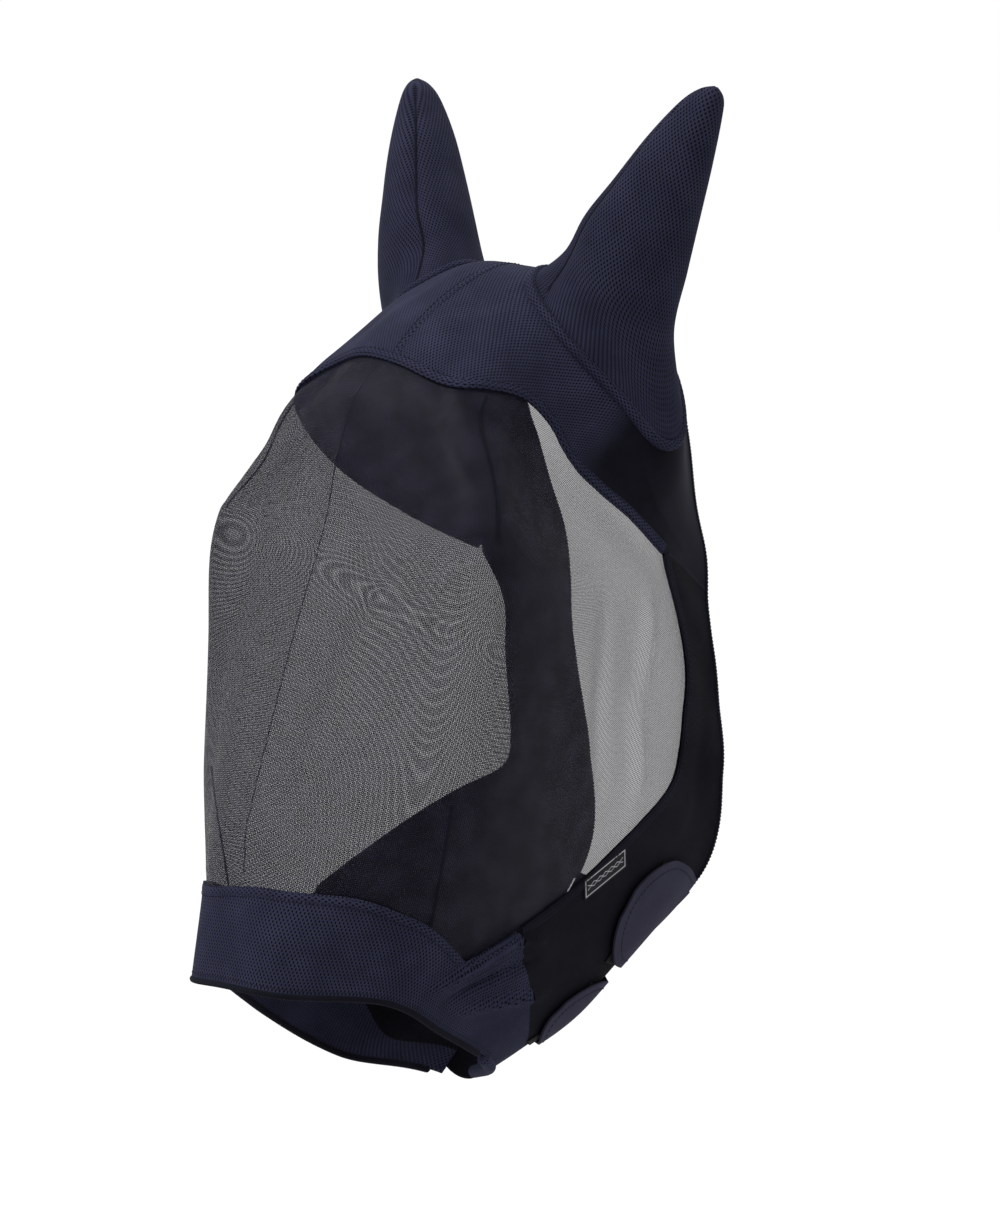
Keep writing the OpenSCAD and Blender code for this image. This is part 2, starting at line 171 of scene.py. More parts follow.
def between(top, bottom, right, left):
    # a patch whose four sides are lines of (u, v); s goes right to left, t top to bottom
    corner = [top(0.0), top(1.0), bottom(0.0), bottom(1.0)]

    def read(s, t):
        s1, t1 = s[..., None], t[..., None]
        return (
            (1 - t1) * top(s) + t1 * bottom(s) + (1 - s1) * right(t) + s1 * left(t)
            - (1 - s1) * (1 - t1) * corner[0] - s1 * (1 - t1) * corner[1]
            - (1 - s1) * t1 * corner[2] - s1 * t1 * corner[3]
        )

    return read


# ---- how the worn cloth lies off the smooth surface ----
# each fold: line of (u, v), half width and height in metres, share of its length that fades in
folds = [
    # soft upright folds in the net of the left window, and their faint partner on the right
    {"line": [(5.60, 3.40), (6.17, 3.47), (6.83, 3.47)], "width": 0.010, "height": 0.0045},
    {"line": [(4.27, 3.60), (5.17, 3.50), (5.83, 3.50)], "width": 0.010, "height": 0.0045},
    {"line": [(4.80, 3.10), (5.83, 3.10), (6.77, 3.17)], "width": 0.009, "height": -0.0025},
    {"line": [(3.6, -3.4), (4.8, -3.3), (6.0, -3.0), (7.0, -2.7)], "width": 0.009, "height": 0.003},
    # the right temple is drawn in
    {"line": [(3.2, -2.25), (4.1, -2.1), (4.9, -2.0)], "width": 0.020, "height": -0.006},
    # drag lines in the net under the brow
    {"line": [(3.0, 1.1), (3.5, 1.5), (4.2, 1.9)], "width": 0.007, "height": -0.003},
    {"line": [(3.0, 2.2), (3.6, 2.15), (4.6, 2.05)], "width": 0.006, "height": 0.0025},
    {"line": [(3.0, -0.9), (3.5, -1.3), (4.1, -1.8)], "width": 0.008, "height": -0.0025},
    # pleats where the band meets the cheek
    {"line": [(8.63, 2.43), (8.17, 2.70), (7.83, 2.97), (7.77, 3.17)], "width": 0.0034, "height": 0.0060},
    {"line": [(8.73, 2.63), (8.13, 3.00), (7.93, 3.20)], "width": 0.0032, "height": -0.0050},
    {"line": [(8.77, 2.87), (8.33, 3.23), (8.1, 3.5)], "width": 0.0034, "height": 0.0055},
    {"line": [(8.55, -2.5), (8.4, -3.1), (8.2, -3.7)], "width": 0.005, "height": 0.0026},
    # soft hollows of the cheeks and the brow
    {"line": [(5.0, 4.45), (6.2, 4.4), (7.2, 4.0)], "width": 0.012, "height": -0.002},
    {"line": [(5.0, -4.45), (6.2, -4.4), (7.2, -4.0)], "width": 0.012, "height": -0.002},
    {"line": [(2.2, 3.3), (2.7, 3.2), (3.1, 3.0)], "width": 0.008, "height": -0.0016},
    {"line": [(1.5, 0.6), (2.2, 1.0), (2.8, 1.5)], "width": 0.01, "height": -0.0014},
    {"line": [(1.7, -0.5), (2.3, -1.0), (2.8, -1.6)], "width": 0.01, "height": -0.0014},
]
for fold in folds:
    fold["read"] = through(fold["line"])(np.linspace(0, 1, 33))
    fold["place"] = spot(fold["read"][:, 0], fold["read"][:, 1])[0]
# the net stands up in a soft edge down its middle, which fades in over top and out over end
crease = {"height": 0.0070, "width": 0.030, "top": (3.0, 3.7), "end": (7.5, 8.0)}


def drape(u, v, place):
    lift = np.zeros(np.shape(u))
    for fold in folds:
        flat = place.reshape(-1, 3)
        best = np.full(len(flat), 9.0)
        where = np.zeros(len(flat))
        for k, p in enumerate(fold["place"]):
            gap = np.linalg.norm(flat - p, axis=1)
            closer = gap < best
            best, where = np.where(closer, gap, best), np.where(closer, k / 32, where)
        fade = np.sin(np.pi * np.clip(0.04 + 0.92 * where, 0, 1)) ** 0.7
        lift += (fold["height"] * fade * np.exp(-((best / fold["width"]) ** 2))).reshape(lift.shape)
    onNet = smooth(*crease["top"], u) * (1 - smooth(*crease["end"], u))
    lift += crease["height"] * onNet * np.exp(-np.abs(place[..., 0]) / crease["width"])
    # slow waves, so that no panel is as even as a shell
    lift += 0.0007 * np.sin(2.3 * u + 1.7 * v) + 0.0005 * np.sin(4.1 * v - 3.2 * u + 1)
    return lift


# the empty hood hangs a little askew: its right rim is lower, and its left corner leans out
sway = {
    "right": (0, 0.002, -0.009),
    "left": (0.006, 0.006, 0.004),
    "ridge": (0.0034, 0.0034, 0),
    "rear": (-0.0026, -0.0026, 0),
    "jaw": (-0.0030, -0.0030, 0.001),
    "temple": (-0.0028, -0.0028, 0.002),
}


def hump(low, top, fall, high, x):
    # rises from 0 to 1 between low and top, and goes back to 0 between fall and high
    return smooth(low, top, x) * (1 - smooth(fall, high, x))


def swayShares(u, v):
    # how much of each way of hanging askew a point takes
    return {
        "right": smooth(7.6, 9, u) * (smooth(0.8, 2.6, -v) - 1.3 * smooth(4.0, 4.95, -v)),
        "left": smooth(8.2, 9, u) * smooth(2.5, 4.8, v),
        "ridge": smooth(3.2, 4.6, u) * hump(0.4, 1.6, 2.6, 4.0, -v),
        "rear": hump(2.0, 4.0, 6.6, 7.6, u) * smooth(3.4, 4.9, v),
        "jaw": hump(7.0, 7.9, 8.4, 8.95, u) * smooth(3.0, 4.6, v),
        "temple": hump(1.0, 2.0, 2.7, 3.3, u) * hump(1.0, 2.2, 3.2, 4.2, -v),
    }


def onHood(uv, lift=0.0):
    # points of the worn hood at (u, v), lifted off its inside face
    u, v = uv[..., 0], uv[..., 1]
    place, outward = spot(u, v)
    lift = np.asarray(lift) + drape(u, v, place)
    for name, share in swayShares(u, v).items():
        place = place + share[..., None] * sway[name]
    return place + lift[..., None] * outward, outward


def clothLength(uv):
    # how far along the cloth a point lies, across the head and down it, for the weave
    u, v = uv[..., 0], uv[..., 1]
    return np.stack([
        np.sign(v) * lengthTable(np.clip(u, 0, 9), np.abs(v), acrossTable),
        lengthTable(np.clip(u, 0, 9), np.abs(v), downTable),
    ], -1)


tableU, tableV = np.linspace(0, 9, 181), np.linspace(0, 5, 101)
tablePlace = spot(tableU[:, None], tableV[None, :])[0]
acrossTable = np.concatenate([
    np.zeros((181, 1)), np.cumsum(np.linalg.norm(np.diff(tablePlace, axis=1), axis=-1), axis=1)
], axis=1)
downTable = np.concatenate([
    np.zeros((1, 101)), np.cumsum(np.linalg.norm(np.diff(tablePlace, axis=0), axis=-1), axis=0)
], axis=0)


def lengthTable(u, v, table):
    a, b = np.clip(u * 20, 0, 179.999), np.clip(v * 20, 0, 99.999)
    i, j = a.astype(int), b.astype(int)
    x, y = a - i, b - j
    return (
        (1 - x) * (1 - y) * table[i, j] + x * (1 - y) * table[i + 1, j]
        + (1 - x) * y * table[i, j + 1] + x * y * table[i + 1, j + 1]
    )


# ---- making meshes ----
def addGrid(name, columns, rows, shape, weave, wrap=False, paint=None):
    # a flat grid is added, and shape(s, t) says where its points lie; weave(s, t) is the
    # cloth's own coordinate in metres, and paint(s, t) a mask for its material
    bpy.ops.object.select_all(action="DESELECT")
    bpy.ops.mesh.primitive_grid_add(x_subdivisions=columns, y_subdivisions=rows, size=1)
    piece = bpy.context.object
    piece.name = piece.data.name = name
    mesh = piece.data
    count = len(mesh.vertices)
    flat = np.zeros(count * 3)
    mesh.vertices.foreach_get("co", flat)
    s, t = flat.reshape(-1, 3)[:, 0] + 0.5, flat.reshape(-1, 3)[:, 1] + 0.5
    place, outward = shape(s, t)
    cloth = weave(s, t)
    mesh.vertices.foreach_set("co", np.ascontiguousarray(place).ravel())
    corner = np.zeros(len(mesh.loops), int)
    mesh.loops.foreach_get("vertex_index", corner)
    layer = mesh.uv_layers[0] if mesh.uv_layers else mesh.uv_layers.new(name="cloth")
    layer.name = "cloth"
    layer.data.foreach_set("uv", np.ascontiguousarray(cloth[corner]).ravel())
    if paint:
        # the mask marks where the cloth is painted darker, as painted shade
        mask = mesh.attributes.new("plainCloth", "FLOAT", "POINT")
        mask.data.foreach_set("value", paint(s, t).astype(np.float32))
    mesh.update()
    normals = np.zeros(len(mesh.polygons) * 3)
    mesh.polygons.foreach_get("normal", normals)
    first = np.array([p.vertices[0] for p in mesh.polygons])
    facing = (normals.reshape(-1, 3) * outward[first]).sum()
    bpy.ops.object.mode_set(mode="EDIT")
    bpy.ops.mesh.select_all(action="SELECT")
    if facing < 0:
        bpy.ops.mesh.flip_normals()
    if wrap:
        bpy.ops.mesh.remove_doubles(threshold=2e-6)
    bpy.ops.object.mode_set(mode="OBJECT")
    return piece


def applyModifier(piece, kind, **settings):
    bpy.ops.object.select_all(action="DESELECT")
    piece.select_set(True)
    bpy.context.view_layer.objects.active = piece
    made = piece.modifiers.new(kind.title(), kind)
    for key, value in settings.items():
        setattr(made, key, value)
    bpy.ops.object.modifier_apply(modifier=made.name)
    return piece


def thicken(piece, wall):
    # the grid is the inside face, and the wall grows outwards
    return applyModifier(piece, "SOLIDIFY", thickness=wall, offset=1.0, use_even_offset=False)


def smoothShade(piece, angle=50):
    bpy.ops.object.select_all(action="DESELECT")
    piece.select_set(True)
    bpy.context.view_layer.objects.active = piece
    bpy.ops.object.shade_smooth_by_angle(angle=math.radians(angle))
    return piece


def panel(name, patch, columns, rows, lift, wall, weave=None):
    # a cloth panel cut by four lines of (u, v)
    def shape(s, t):
        uv = patch(s, t)
        return onHood(uv, lift(s, t) if callable(lift) else lift)

    piece = addGrid(name, columns, rows, shape, weave or (lambda s, t: clothLength(patch(s, t))))
    return smoothShade(thicken(piece, wall))


def frameAlong(place, outward, closed):
    if closed:
        ahead = np.roll(place, -1, 0) - np.roll(place, 1, 0)
    else:
        ahead = np.gradient(place, axis=0)
    ahead = unit(ahead)
    side = unit(np.cross(outward, ahead))
    return ahead, side, unit(np.cross(ahead, side))


def resample(place, outward, count, closed):
    # the same line at even steps
    if closed:
        place, outward = np.concatenate([place, place[:1]]), np.concatenate([outward, outward[:1]])
    run = np.concatenate([[0], np.cumsum(np.linalg.norm(np.diff(place, axis=0), axis=1))])
    at = np.linspace(0, run[-1], count + 1)[: count if closed else count + 1]
    pick = lambda a: np.stack([np.interp(at, run, a[:, k]) for k in range(3)], -1)
    return pick(place), unit(pick(outward)), run[-1]


def cord(name, place, outward, radius, closed=False, ribs=0.0, ribPitch=0.002, sides=12,
         step=0.001, taper=0.0):
    # a round piping along a line; ribs is the height of its cross ribs
    length = np.linalg.norm(np.diff(place, axis=0), axis=1).sum()
    count = max(8, int(length / step))
    place, outward, length = resample(place, outward, count, closed)
    if closed:
        place, outward = np.concatenate([place, place[:1]]), np.concatenate([outward, outward[:1]])
    ahead, side, up = frameAlong(place, outward, False)
    if closed:
        for line in (ahead, side, up):
            line[0] = line[-1] = unit(line[0] + line[-1])

    def shape(s, t):
        k = np.clip(np.rint(t * count).astype(int), 0, count)
        turn = 2 * np.pi * s
        r = radius + ribs * np.cos(2 * np.pi * np.rint(length / ribPitch) * t)
        if taper:
            end = np.clip(np.minimum(t, 1 - t) * length / taper, 0, 1)
            r = r * np.sqrt(np.maximum(1 - (1 - end) ** 2, 0.0004))
        edge = np.cos(turn)[:, None] * side[k] + np.sin(turn)[:, None] * up[k]
        return place[k] + r[:, None] * edge, edge

    weave = lambda s, t: np.stack([s * 2 * np.pi * radius, t * length], -1)
    return smoothShade(addGrid(name, sides, count, shape, weave, wrap=True), 70)


def ribbon(name, place, outward, width, low, wall, closed=False, roll=0.0, columns=6, step=0.0015):
    # a flat tape along a line, its underside low above the points; roll rounds its edges over
    length = np.linalg.norm(np.diff(place, axis=0), axis=1).sum()
    count = max(8, int(length / step))
    place, outward, length = resample(place, outward, count, closed)
    _, side, _ = frameAlong(place, outward, closed)

    def shape(s, t):
        k = np.clip(np.rint(t * count).astype(int), 0, len(place) - 1)
        x = s - 0.5
        drop = roll * np.abs(2 * x) ** 4
        return (
            place[k] + (x * width)[:, None] * side[k] + (low - drop)[:, None] * outward[k], outward[k]
        )

    weave = lambda s, t: np.stack([s * width, t * length], -1)
    return smoothShade(thicken(addGrid(name, columns, count, shape, weave), wall), 60)


def hoodLine(points, count=160):
    uv = through(points)(np.linspace(0, 1, count))
    return onHood(uv)


# ---- materials ----
class Shade:
    # wraps a node's output, so that shader sums are written as plain ones
    def __init__(self, tree, socket=None):
        self.tree = tree
        self.socket = socket

    def node(self, kind, settings=None, inputs=None, output=0):
        made = self.tree.nodes.new(kind)
        for key, value in (settings or {}).items():
            if key == "stops":
                ramp = made.color_ramp
                while len(ramp.elements) < len(value):
                    ramp.elements.new(0.5)
                for element, (position, colour) in zip(ramp.elements, value):
                    element.position, element.color = position, (*colour, 1)
            else:
                setattr(made, key, value)
        for key, value in (inputs or {}).items():
            if isinstance(value, Shade):
                self.tree.links.new(value.socket, made.inputs[key])
            else:
                made.inputs[key].default_value = value
        return Shade(self.tree, made.outputs[output])

    def maths(self, operation, other=0.0, first=None):
        return self.node("ShaderNodeMath", {"operation": operation},
                         {0: self if first is None else first, 1: other})

    def __add__(self, other):
        return self.maths("ADD", other)

    def __radd__(self, other):
        return self.maths("ADD", other)

    def __sub__(self, other):
        return self.maths("SUBTRACT", other)

    def __rsub__(self, other):
        return self.maths("SUBTRACT", self, other)

    def __mul__(self, other):
        return self.maths("MULTIPLY", other)

    def __rmul__(self, other):
        return self.maths("MULTIPLY", other)

    def __truediv__(self, other):
        return self.maths("DIVIDE", other)

    def step(self, low, high, toLow=0.0, toHigh=1.0):
        ends = {"From Min": low, "From Max": high, "To Min": toLow, "To Max": toHigh}
        return self.node("ShaderNodeMapRange", {"interpolation_type": "SMOOTHSTEP"}, {"Value": self, **ends})

    def wave(self, pitch, shift=0.0):
        # a cosine along this coordinate, from -1 to 1
        return (self * (2 * math.pi / pitch) + shift).maths("COSINE")

    def tooth(self, pitch):
        # 0 on the middle line of each stripe and 1 on its edges
        return ((self / pitch).maths("FRACT") - 0.5).maths("ABSOLUTE") * 2

    def mix(self, low, high):
        return self.node("ShaderNodeMix", {"data_type": "RGBA"}, {0: self, 6: low, 7: high}, output=2)


def startMaterial(name, roughness, sheen=0.0, sheenTint=(1, 1, 1), sheenRoughness=0.5, specular=0.3):
    material = bpy.data.materials.new(name)
    material.use_nodes = True
    tree = material.node_tree
    surface = tree.nodes["Principled BSDF"]
    surface.inputs["Roughness"].default_value = roughness
    surface.inputs["Sheen Weight"].default_value = sheen
    surface.inputs["Sheen Tint"].default_value = (*sheenTint, 1)
    surface.inputs["Sheen Roughness"].default_value = sheenRoughness
    surface.inputs["Specular IOR Level"].default_value = specular
    return material, Shade(tree), surface


def clothPlace(shade):
    return shade.node("ShaderNodeUVMap", {"uv_map": "cloth"})


def clothAxes(shade):
    # across the cloth and down it, in metres
    place = clothPlace(shade)
    return [shade.node("ShaderNodeSeparateXYZ", None, {0: place}, output=k) for k in range(2)]


def objectNoise(shade, scale, detail=2.0, roughness=0.5):
    place = shade.node("ShaderNodeTexCoord", None, None, output=3)
    grain = {"Vector": place, "Scale": scale, "Detail": detail, "Roughness": roughness}
    return shade.node("ShaderNodeTexNoise", None, grain)


def finish(shade, surface, colour=None, roughness=None, height=None, depth=0.0003, alpha=None):
    links = shade.tree.links
    if colour is not None:
        links.new(colour.socket, surface.inputs["Base Color"])
    if roughness is not None:
        links.new(roughness.socket, surface.inputs["Roughness"])
    if alpha is not None:
        links.new(alpha.socket, surface.inputs["Alpha"])
    if height is not None:
        bump = shade.node("ShaderNodeBump", None,
                          {"Height": height, "Strength": 1.0, "Distance": depth})
        links.new(bump.socket, surface.inputs["Normal"])


netLook = {"pitch": 0.0012, "thread": 0.24, "fill": 0.205, "waver": 0.0004, "bias": 0.09, "soft": 0.12,
           "dark": (0.0038, 0.0035, 0.0100), "light": (0.0112, 0.0105, 0.0215)}


def makeNet(name, look):
    material, shade, surface = startMaterial(name, 0.55, specular=0.12)
    across, down = clothAxes(shade)
    waver = objectNoise(shade, 26, 1.0)
    # the net is cut on a slight bias, so its two layers never line up
    x = across + down * look["bias"] + (waver - 0.5) * look["waver"]
    y = down - across * look["bias"] + (waver - 0.5) * look["waver"]
    rise = 1 - look["thread"]
    warp = x.tooth(look["pitch"]).step(rise - look["soft"], rise + look["soft"])
    weft = y.tooth(look["pitch"]).step(rise - look["soft"], rise + look["soft"])
    alpha = look["fill"] + (1 - look["fill"]) * warp.maths("MAXIMUM", weft)
    tone = objectNoise(shade, 60, 3.0).step(0.35, 0.7)
    finish(shade, surface, tone.mix((*look["dark"], 1), (*look["light"], 1)),
           height=warp + weft, depth=0.0001, alpha=alpha)
    return material


# the last two colours are painted shade for the rear part of the brow, which takes little of the key light
spacerLook = {"pitch": 0.0023, "dark": (0.0012, 0.0012, 0.0026), "base": (0.0120, 0.0124, 0.0255),
              "light": (0.0230, 0.0240, 0.0460), "paintedShadeDark": (0.0022, 0.0023, 0.0040),
              "paintedShadeLight": (0.0046, 0.0048, 0.0080)}


def makeSpacer(name, look, paintedShadeScale=1.0, paintedShadePart=False):
    material, shade, surface = startMaterial(name, 0.85, 0.02, (0.55, 0.6, 0.9), 0.45, 0.04)
    across, down = clothAxes(shade)
    pitch = look["pitch"]
    lattice = across.wave(pitch) * down.wave(pitch * 1.732)
    hole = lattice.step(0.18, 0.72)
    yarn = across.wave(pitch / 2).maths("ABSOLUTE") * 0.6 + down.wave(pitch * 0.866) * 0.2
    tone = objectNoise(shade, 35, 4.0, 0.6).step(0.3, 0.72)
    fine = objectNoise(shade, 900, 2.0)
    # the scale darkens every colour: painted shade, for a copy of the cloth that takes less light
    colours = {key: (*(paintedShadeScale * k for k in look[key]), 1) for key in ("dark", "base", "light")}
    cloth = (tone * 0.6 + yarn * 0.25 + fine * 0.25).mix(colours["base"], colours["light"])
    roughness = None if paintedShadePart else 0.92 - hole * 0.1
    if paintedShadePart:
        # painted shade: the rear part of the brow is painted darker and without holes, where it turns away
        # from the light
        part = shade.node("ShaderNodeAttribute", {"attribute_name": "plainCloth"}, None, output=2)
        hole = hole * (1 - part)
        paintedShadeColour = (tone * 0.7 + fine * 0.3).mix((*look["paintedShadeDark"], 1), (*look["paintedShadeLight"], 1))
        cloth = part.mix(cloth, paintedShadeColour)
    finish(shade, surface, hole.mix(cloth, colours["dark"]), roughness, (1 - hole) + fine * 0.15, 0.0007)
    return material


knitLook = {"rib": 0.0011, "dark": (0.0022, 0.0023, 0.0038), "light": (0.0054, 0.0055, 0.0088)}


def makeKnit(name, look, ribAcross=True, depth=0.00022, sheen=0.01):
    material, shade, surface = startMaterial(name, 0.8, sheen, (0.6, 0.62, 0.85), 0.5, 0.03)
    across, down = clothAxes(shade)
    along, over = (across, down) if ribAcross else (down, across)
    wale = along.wave(look["rib"])
    course = (over.wave(look["rib"] * 0.8) * wale).maths("ABSOLUTE")
    tone = objectNoise(shade, 30, 4.0, 0.6).step(0.3, 0.72)
    fine = objectNoise(shade, 1100, 2.0)
    weight = (tone * 0.55 + wale * 0.12 + course * 0.12 + fine * 0.25)
    finish(shade, surface, weight.mix((*look["dark"], 1), (*look["light"], 1)),
           0.72 + fine * 0.2, wale * 0.5 + course * 0.4 + fine * 0.3, depth)
    return material


bindingLook = {"rib": 0.0009, "dark": (0.0032, 0.0033, 0.0054), "light": (0.0085, 0.0087, 0.0145)}
threadLook = {"rib": 0.0004, "dark": (0.006, 0.006, 0.011), "light": (0.016, 0.0165, 0.029)}
brushedLook = {"hairs": (900, 2600, 1), "dark": (0.0098, 0.0094, 0.0180), "light": (0.0165, 0.0160, 0.0290)}


def makeBrushed(name, look):
    material, shade, surface = startMaterial(name, 0.9, 0.05, (0.62, 0.62, 0.9), 0.55, 0.04)
    hairs = {"Vector": clothPlace(shade), "Scale": look["hairs"]}
    brushed = shade.node("ShaderNodeMapping", None, hairs)
    nap = shade.node("ShaderNodeTexNoise", None, {"Vector": brushed, "Scale": 1.0, "Detail": 3.0})
    tone = objectNoise(shade, 45, 3.0).step(0.3, 0.7)
    colour = (nap * 0.5 + tone * 0.5).mix((*look["dark"], 1), (*look["light"], 1))
    finish(shade, surface, colour, 0.8 + nap * 0.15, nap, 0.00025)
    return material


tapeLook = {"dark": (0.0015, 0.0015, 0.002), "light": (0.007, 0.007, 0.0085)}


def makeTouchTape(name, look, pitch, depth):
    # loops or hooks in rows on a woven ground
    material, shade, surface = startMaterial(name, 0.6, 0.01, (0.8, 0.8, 0.9), 0.4, 0.08)
    across, down = clothAxes(shade)
    rows = across.wave(pitch) * down.wave(pitch)
    fuzz = shade.node("ShaderNodeTexVoronoi", {"distance": "EUCLIDEAN"},
                      {"Vector": clothPlace(shade), "Scale": 1.1 / pitch, "Randomness": 0.8})
    weight = rows * 0.3 + 0.35 + fuzz * 0.4
    finish(shade, surface, weight.mix((*look["dark"], 1), (*look["light"], 1)), 0.5 + fuzz * 0.3,
           rows + fuzz, depth)
    return material


labelLook = {"length": 0.045, "width": 0.0145, "edge": 0.0012, "line": 0.0007, "motif": 0.0062,
             "ground": (0.0035, 0.0035, 0.0052), "pale": (0.40, 0.40, 0.43)}


def makeLabel(name, look):
    # a dark woven label: a pale line round it and a row of small lozenges
    material, shade, surface = startMaterial(name, 0.6, 0.01, (0.8, 0.8, 0.9), 0.4, 0.06)
    across, down = clothAxes(shade)
    inX = (across - look["width"] / 2).maths("ABSOLUTE") * -1 + look["width"] / 2
    inY = (down - look["length"] / 2).maths("ABSOLUTE") * -1 + look["length"] / 2
    edge = inX.maths("MINIMUM", inY)
    soft = 0.00008
    border = edge.step(look["edge"] - soft, look["edge"] + soft) * (
        1 - edge.step(look["edge"] + look["line"] - soft, look["edge"] + look["line"] + soft))
    shape = ((down - look["length"] / 2 + 10.5 * look["motif"]).tooth(look["motif"]) * 0.55
             + (across - look["width"] / 2).maths("ABSOLUTE") / (look["motif"] * 0.42))
    ring = shape.step(0.50, 0.56) * (1 - shape.step(0.70, 0.76))
    inside = edge.step(0.0034, 0.0036)
    mask = border.maths("MAXIMUM", ring * inside)
    twill = (across + down).wave(0.0005)
    mark = mask * (0.86 + twill * 0.14)
    finish(shade, surface, mark.mix((*look["ground"], 1), (*look["pale"], 1)), None,
           twill * 0.4 + mask * 0.6, 0.00012)
    return material


looks = {
    "net": makeNet("faceNetWeave", netLook),
    "spacer": makeSpacer("spacerMeshNavy", spacerLook),
    # the brow's copy paints shade on the rear part of the brow
    "brow": makeSpacer("browSpacerMeshAndPaintedShade", spacerLook, paintedShadePart=True),
    # painted shade: the ear covers are the same cloth made darker, as they take less of the key light
    "ear": makeSpacer("earSpacerMeshPaintedShade", spacerLook, 0.88),
    "knit": makeKnit("cheekKnit", knitLook),
    "hem": makeKnit("hemKnit", bindingLook, False, 0.0002),
    "binding": makeKnit("ribbedBinding", bindingLook, False, 0.0003, 0.02),
    "thread": makeKnit("sewingThread", threadLook, False, 0.0001, 0.02),
    "brushed": makeBrushed("brushedTabCloth", brushedLook),
    "loop": makeTouchTape("loopTape", tapeLook, 0.0011, 0.0004),
    "hook": makeTouchTape("hookTape", tapeLook, 0.0016, 0.0006),
    "label": makeLabel("wovenLabel", labelLook),
}
print("materials made:", len(looks))


def dress(piece, look, body="hood", nodes=()):
    piece.data.materials.clear()
    piece.data.materials.append(looks[look])
    if nodes:
        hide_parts(*nodes)
    if body:
        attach(piece, body)
    return piece


# ---- stitches ----
stitch = {"pitch": 0.0034, "length": 0.0025, "radius": 0.00032, "slant": 0.10, "flatness": 0.8}


def sew(name, place, outward, lift, closed=False, body="hood"):
    # one small bead of thread is made, and copied at every stitch of the line
    length = np.linalg.norm(np.diff(place, axis=0), axis=1).sum()
    place, outward, length = resample(place, outward, max(3, int(length / stitch["pitch"])), closed)
    ahead, side, _ = frameAlong(place, outward, closed)
    bpy.ops.object.select_all(action="DESELECT")
    bpy.ops.mesh.primitive_uv_sphere_add(segments=6, ring_count=5, radius=1)
    bead = bpy.context.object
    points = np.array([v.co for v in bead.data.vertices])
    faces = [tuple(p.vertices) for p in bead.data.polygons]
    bpy.data.objects.remove(bead)
    rounded = np.sign(points[:, 2]) * np.abs(points[:, 2]) ** 0.7
    allPoints, allFaces = [], []
    for k in range(len(place)):
        way = unit(ahead[k] + stitch["slant"] * side[k])
        aside = unit(np.cross(outward[k], way))
        local = (
            rounded[:, None] * way * stitch["length"] / 2 + points[:, :1] * aside * stitch["radius"]
            + (points[:, 1:2] * stitch["flatness"] + 0.1 * (1 - rounded[:, None] ** 2))
            * outward[k] * stitch["radius"]
        )
        allPoints.append(place[k] + lift * outward[k] + local)
        allFaces += [tuple(i + k * len(points) for i in f) for f in faces]
    mesh = bpy.data.meshes.new(name)
    mesh.from_pydata(np.concatenate(allPoints).tolist(), [], allFaces)
    layer = mesh.uv_layers.new(name="cloth")
    corner = np.zeros(len(mesh.loops), int)
    mesh.loops.foreach_get("vertex_index", corner)
    allPoints = np.concatenate(allPoints)
    layer.data.foreach_set("uv", np.ascontiguousarray(allPoints[corner][:, [0, 2]]).ravel())
    row = bpy.data.objects.new(name, mesh)
    bpy.context.scene.collection.objects.link(row)
    smoothShade(row, 80)
    bpy.ops.object.select_all(action="DESELECT")
    dress(row, "thread", body)
    return row


def beside(place, outward, offset, closed=False):
    # the same line moved sideways on the cloth
    _, side, _ = frameAlong(place, outward, closed)
    return place + offset * side, outward


# ---- the lines that the panels are cut to ----
cut = {
    "hemLeft": [(3.06, 0.27), (3.08, 0.6), (3.1, 1.0), (3.03, 1.5), (2.84, 1.9), (2.66, 2.3),
                (2.72, 2.65), (2.98, 2.95), (3.08, 3.3), (3.05, 3.7), (3.15, 4.1)],
    "hemRight": [(3.06, 0.27), (3.03, -0.1), (2.99, -0.5), (2.96, -1.2), (3.08, -1.7), (3.33, -2.4),
                 (3.52, -2.95), (3.48, -3.55), (3.3, -4.2)],
    "rearLeft": [(3.15, 4.1), (3.6, 4.06), (4.4, 4.1), (5.35, 4.02), (6.15, 3.95), (6.9, 3.56),
                 (7.35, 3.28), (7.78, 2.92)],
    "cornerLeft": [(7.78, 2.92), (8.0, 2.75), (8.2, 2.6)],
    "rearRight": [(3.3, -4.2), (4.2, -4.1), (5.4, -4.02), (6.4, -3.95), (6.95, -3.58), (7.75, -2.95)],
    "cornerRight": [(7.75, -2.95), (7.96, -2.78), (8.15, -2.6)],
    "bandLeft": [(8.02, 0), (7.96, 0.7), (7.9, 1.4), (7.95, 1.8), (8.02, 2.15), (8.2, 2.6)],
    "bandRight": [(8.02, 0), (8.04, -0.7), (7.98, -1.4), (8.0, -2.1), (8.15, -2.6)],
    "seamLeft": [(3.15, 4.1), (3.05, 4.55), (3.0, 5)],
    "seamRight": [(3.3, -4.2), (3.1, -4.6), (3.0, -5)],
    "chinLeft": [(7.78, 2.92), (7.93, 3.1), (8.15, 3.35), (8.45, 3.7), (8.74, 4.3), (8.80, 5)],
    "chinRight": [(7.75, -2.95), (7.93, -3.12), (8.15, -3.35), (8.45, -3.7), (8.74, -4.3), (8.80, -5)],
}
line = {name: through(points) for name, points in cut.items()}


def joined(first, second):
    # from the end of first to its start, then along second
    def read(share):
        share = np.asarray(share, float)
        back = line[first](1 - np.clip(share * 2, 0, 1))
        on = line[second](np.clip(share * 2 - 1, 0, 1))
        return np.where((share < 0.5)[..., None], back, on)

    return read


def chained(first, second, split=0.93):
    # along first, then on along second, which starts where first ends
    def read(share):
        share = np.asarray(share, float)
        on = line[first](np.clip(share / split, 0, 1))
        past = line[second](np.clip((share - split) / (1 - split), 0, 1))
        return np.where((share < split)[..., None], on, past)

    return read


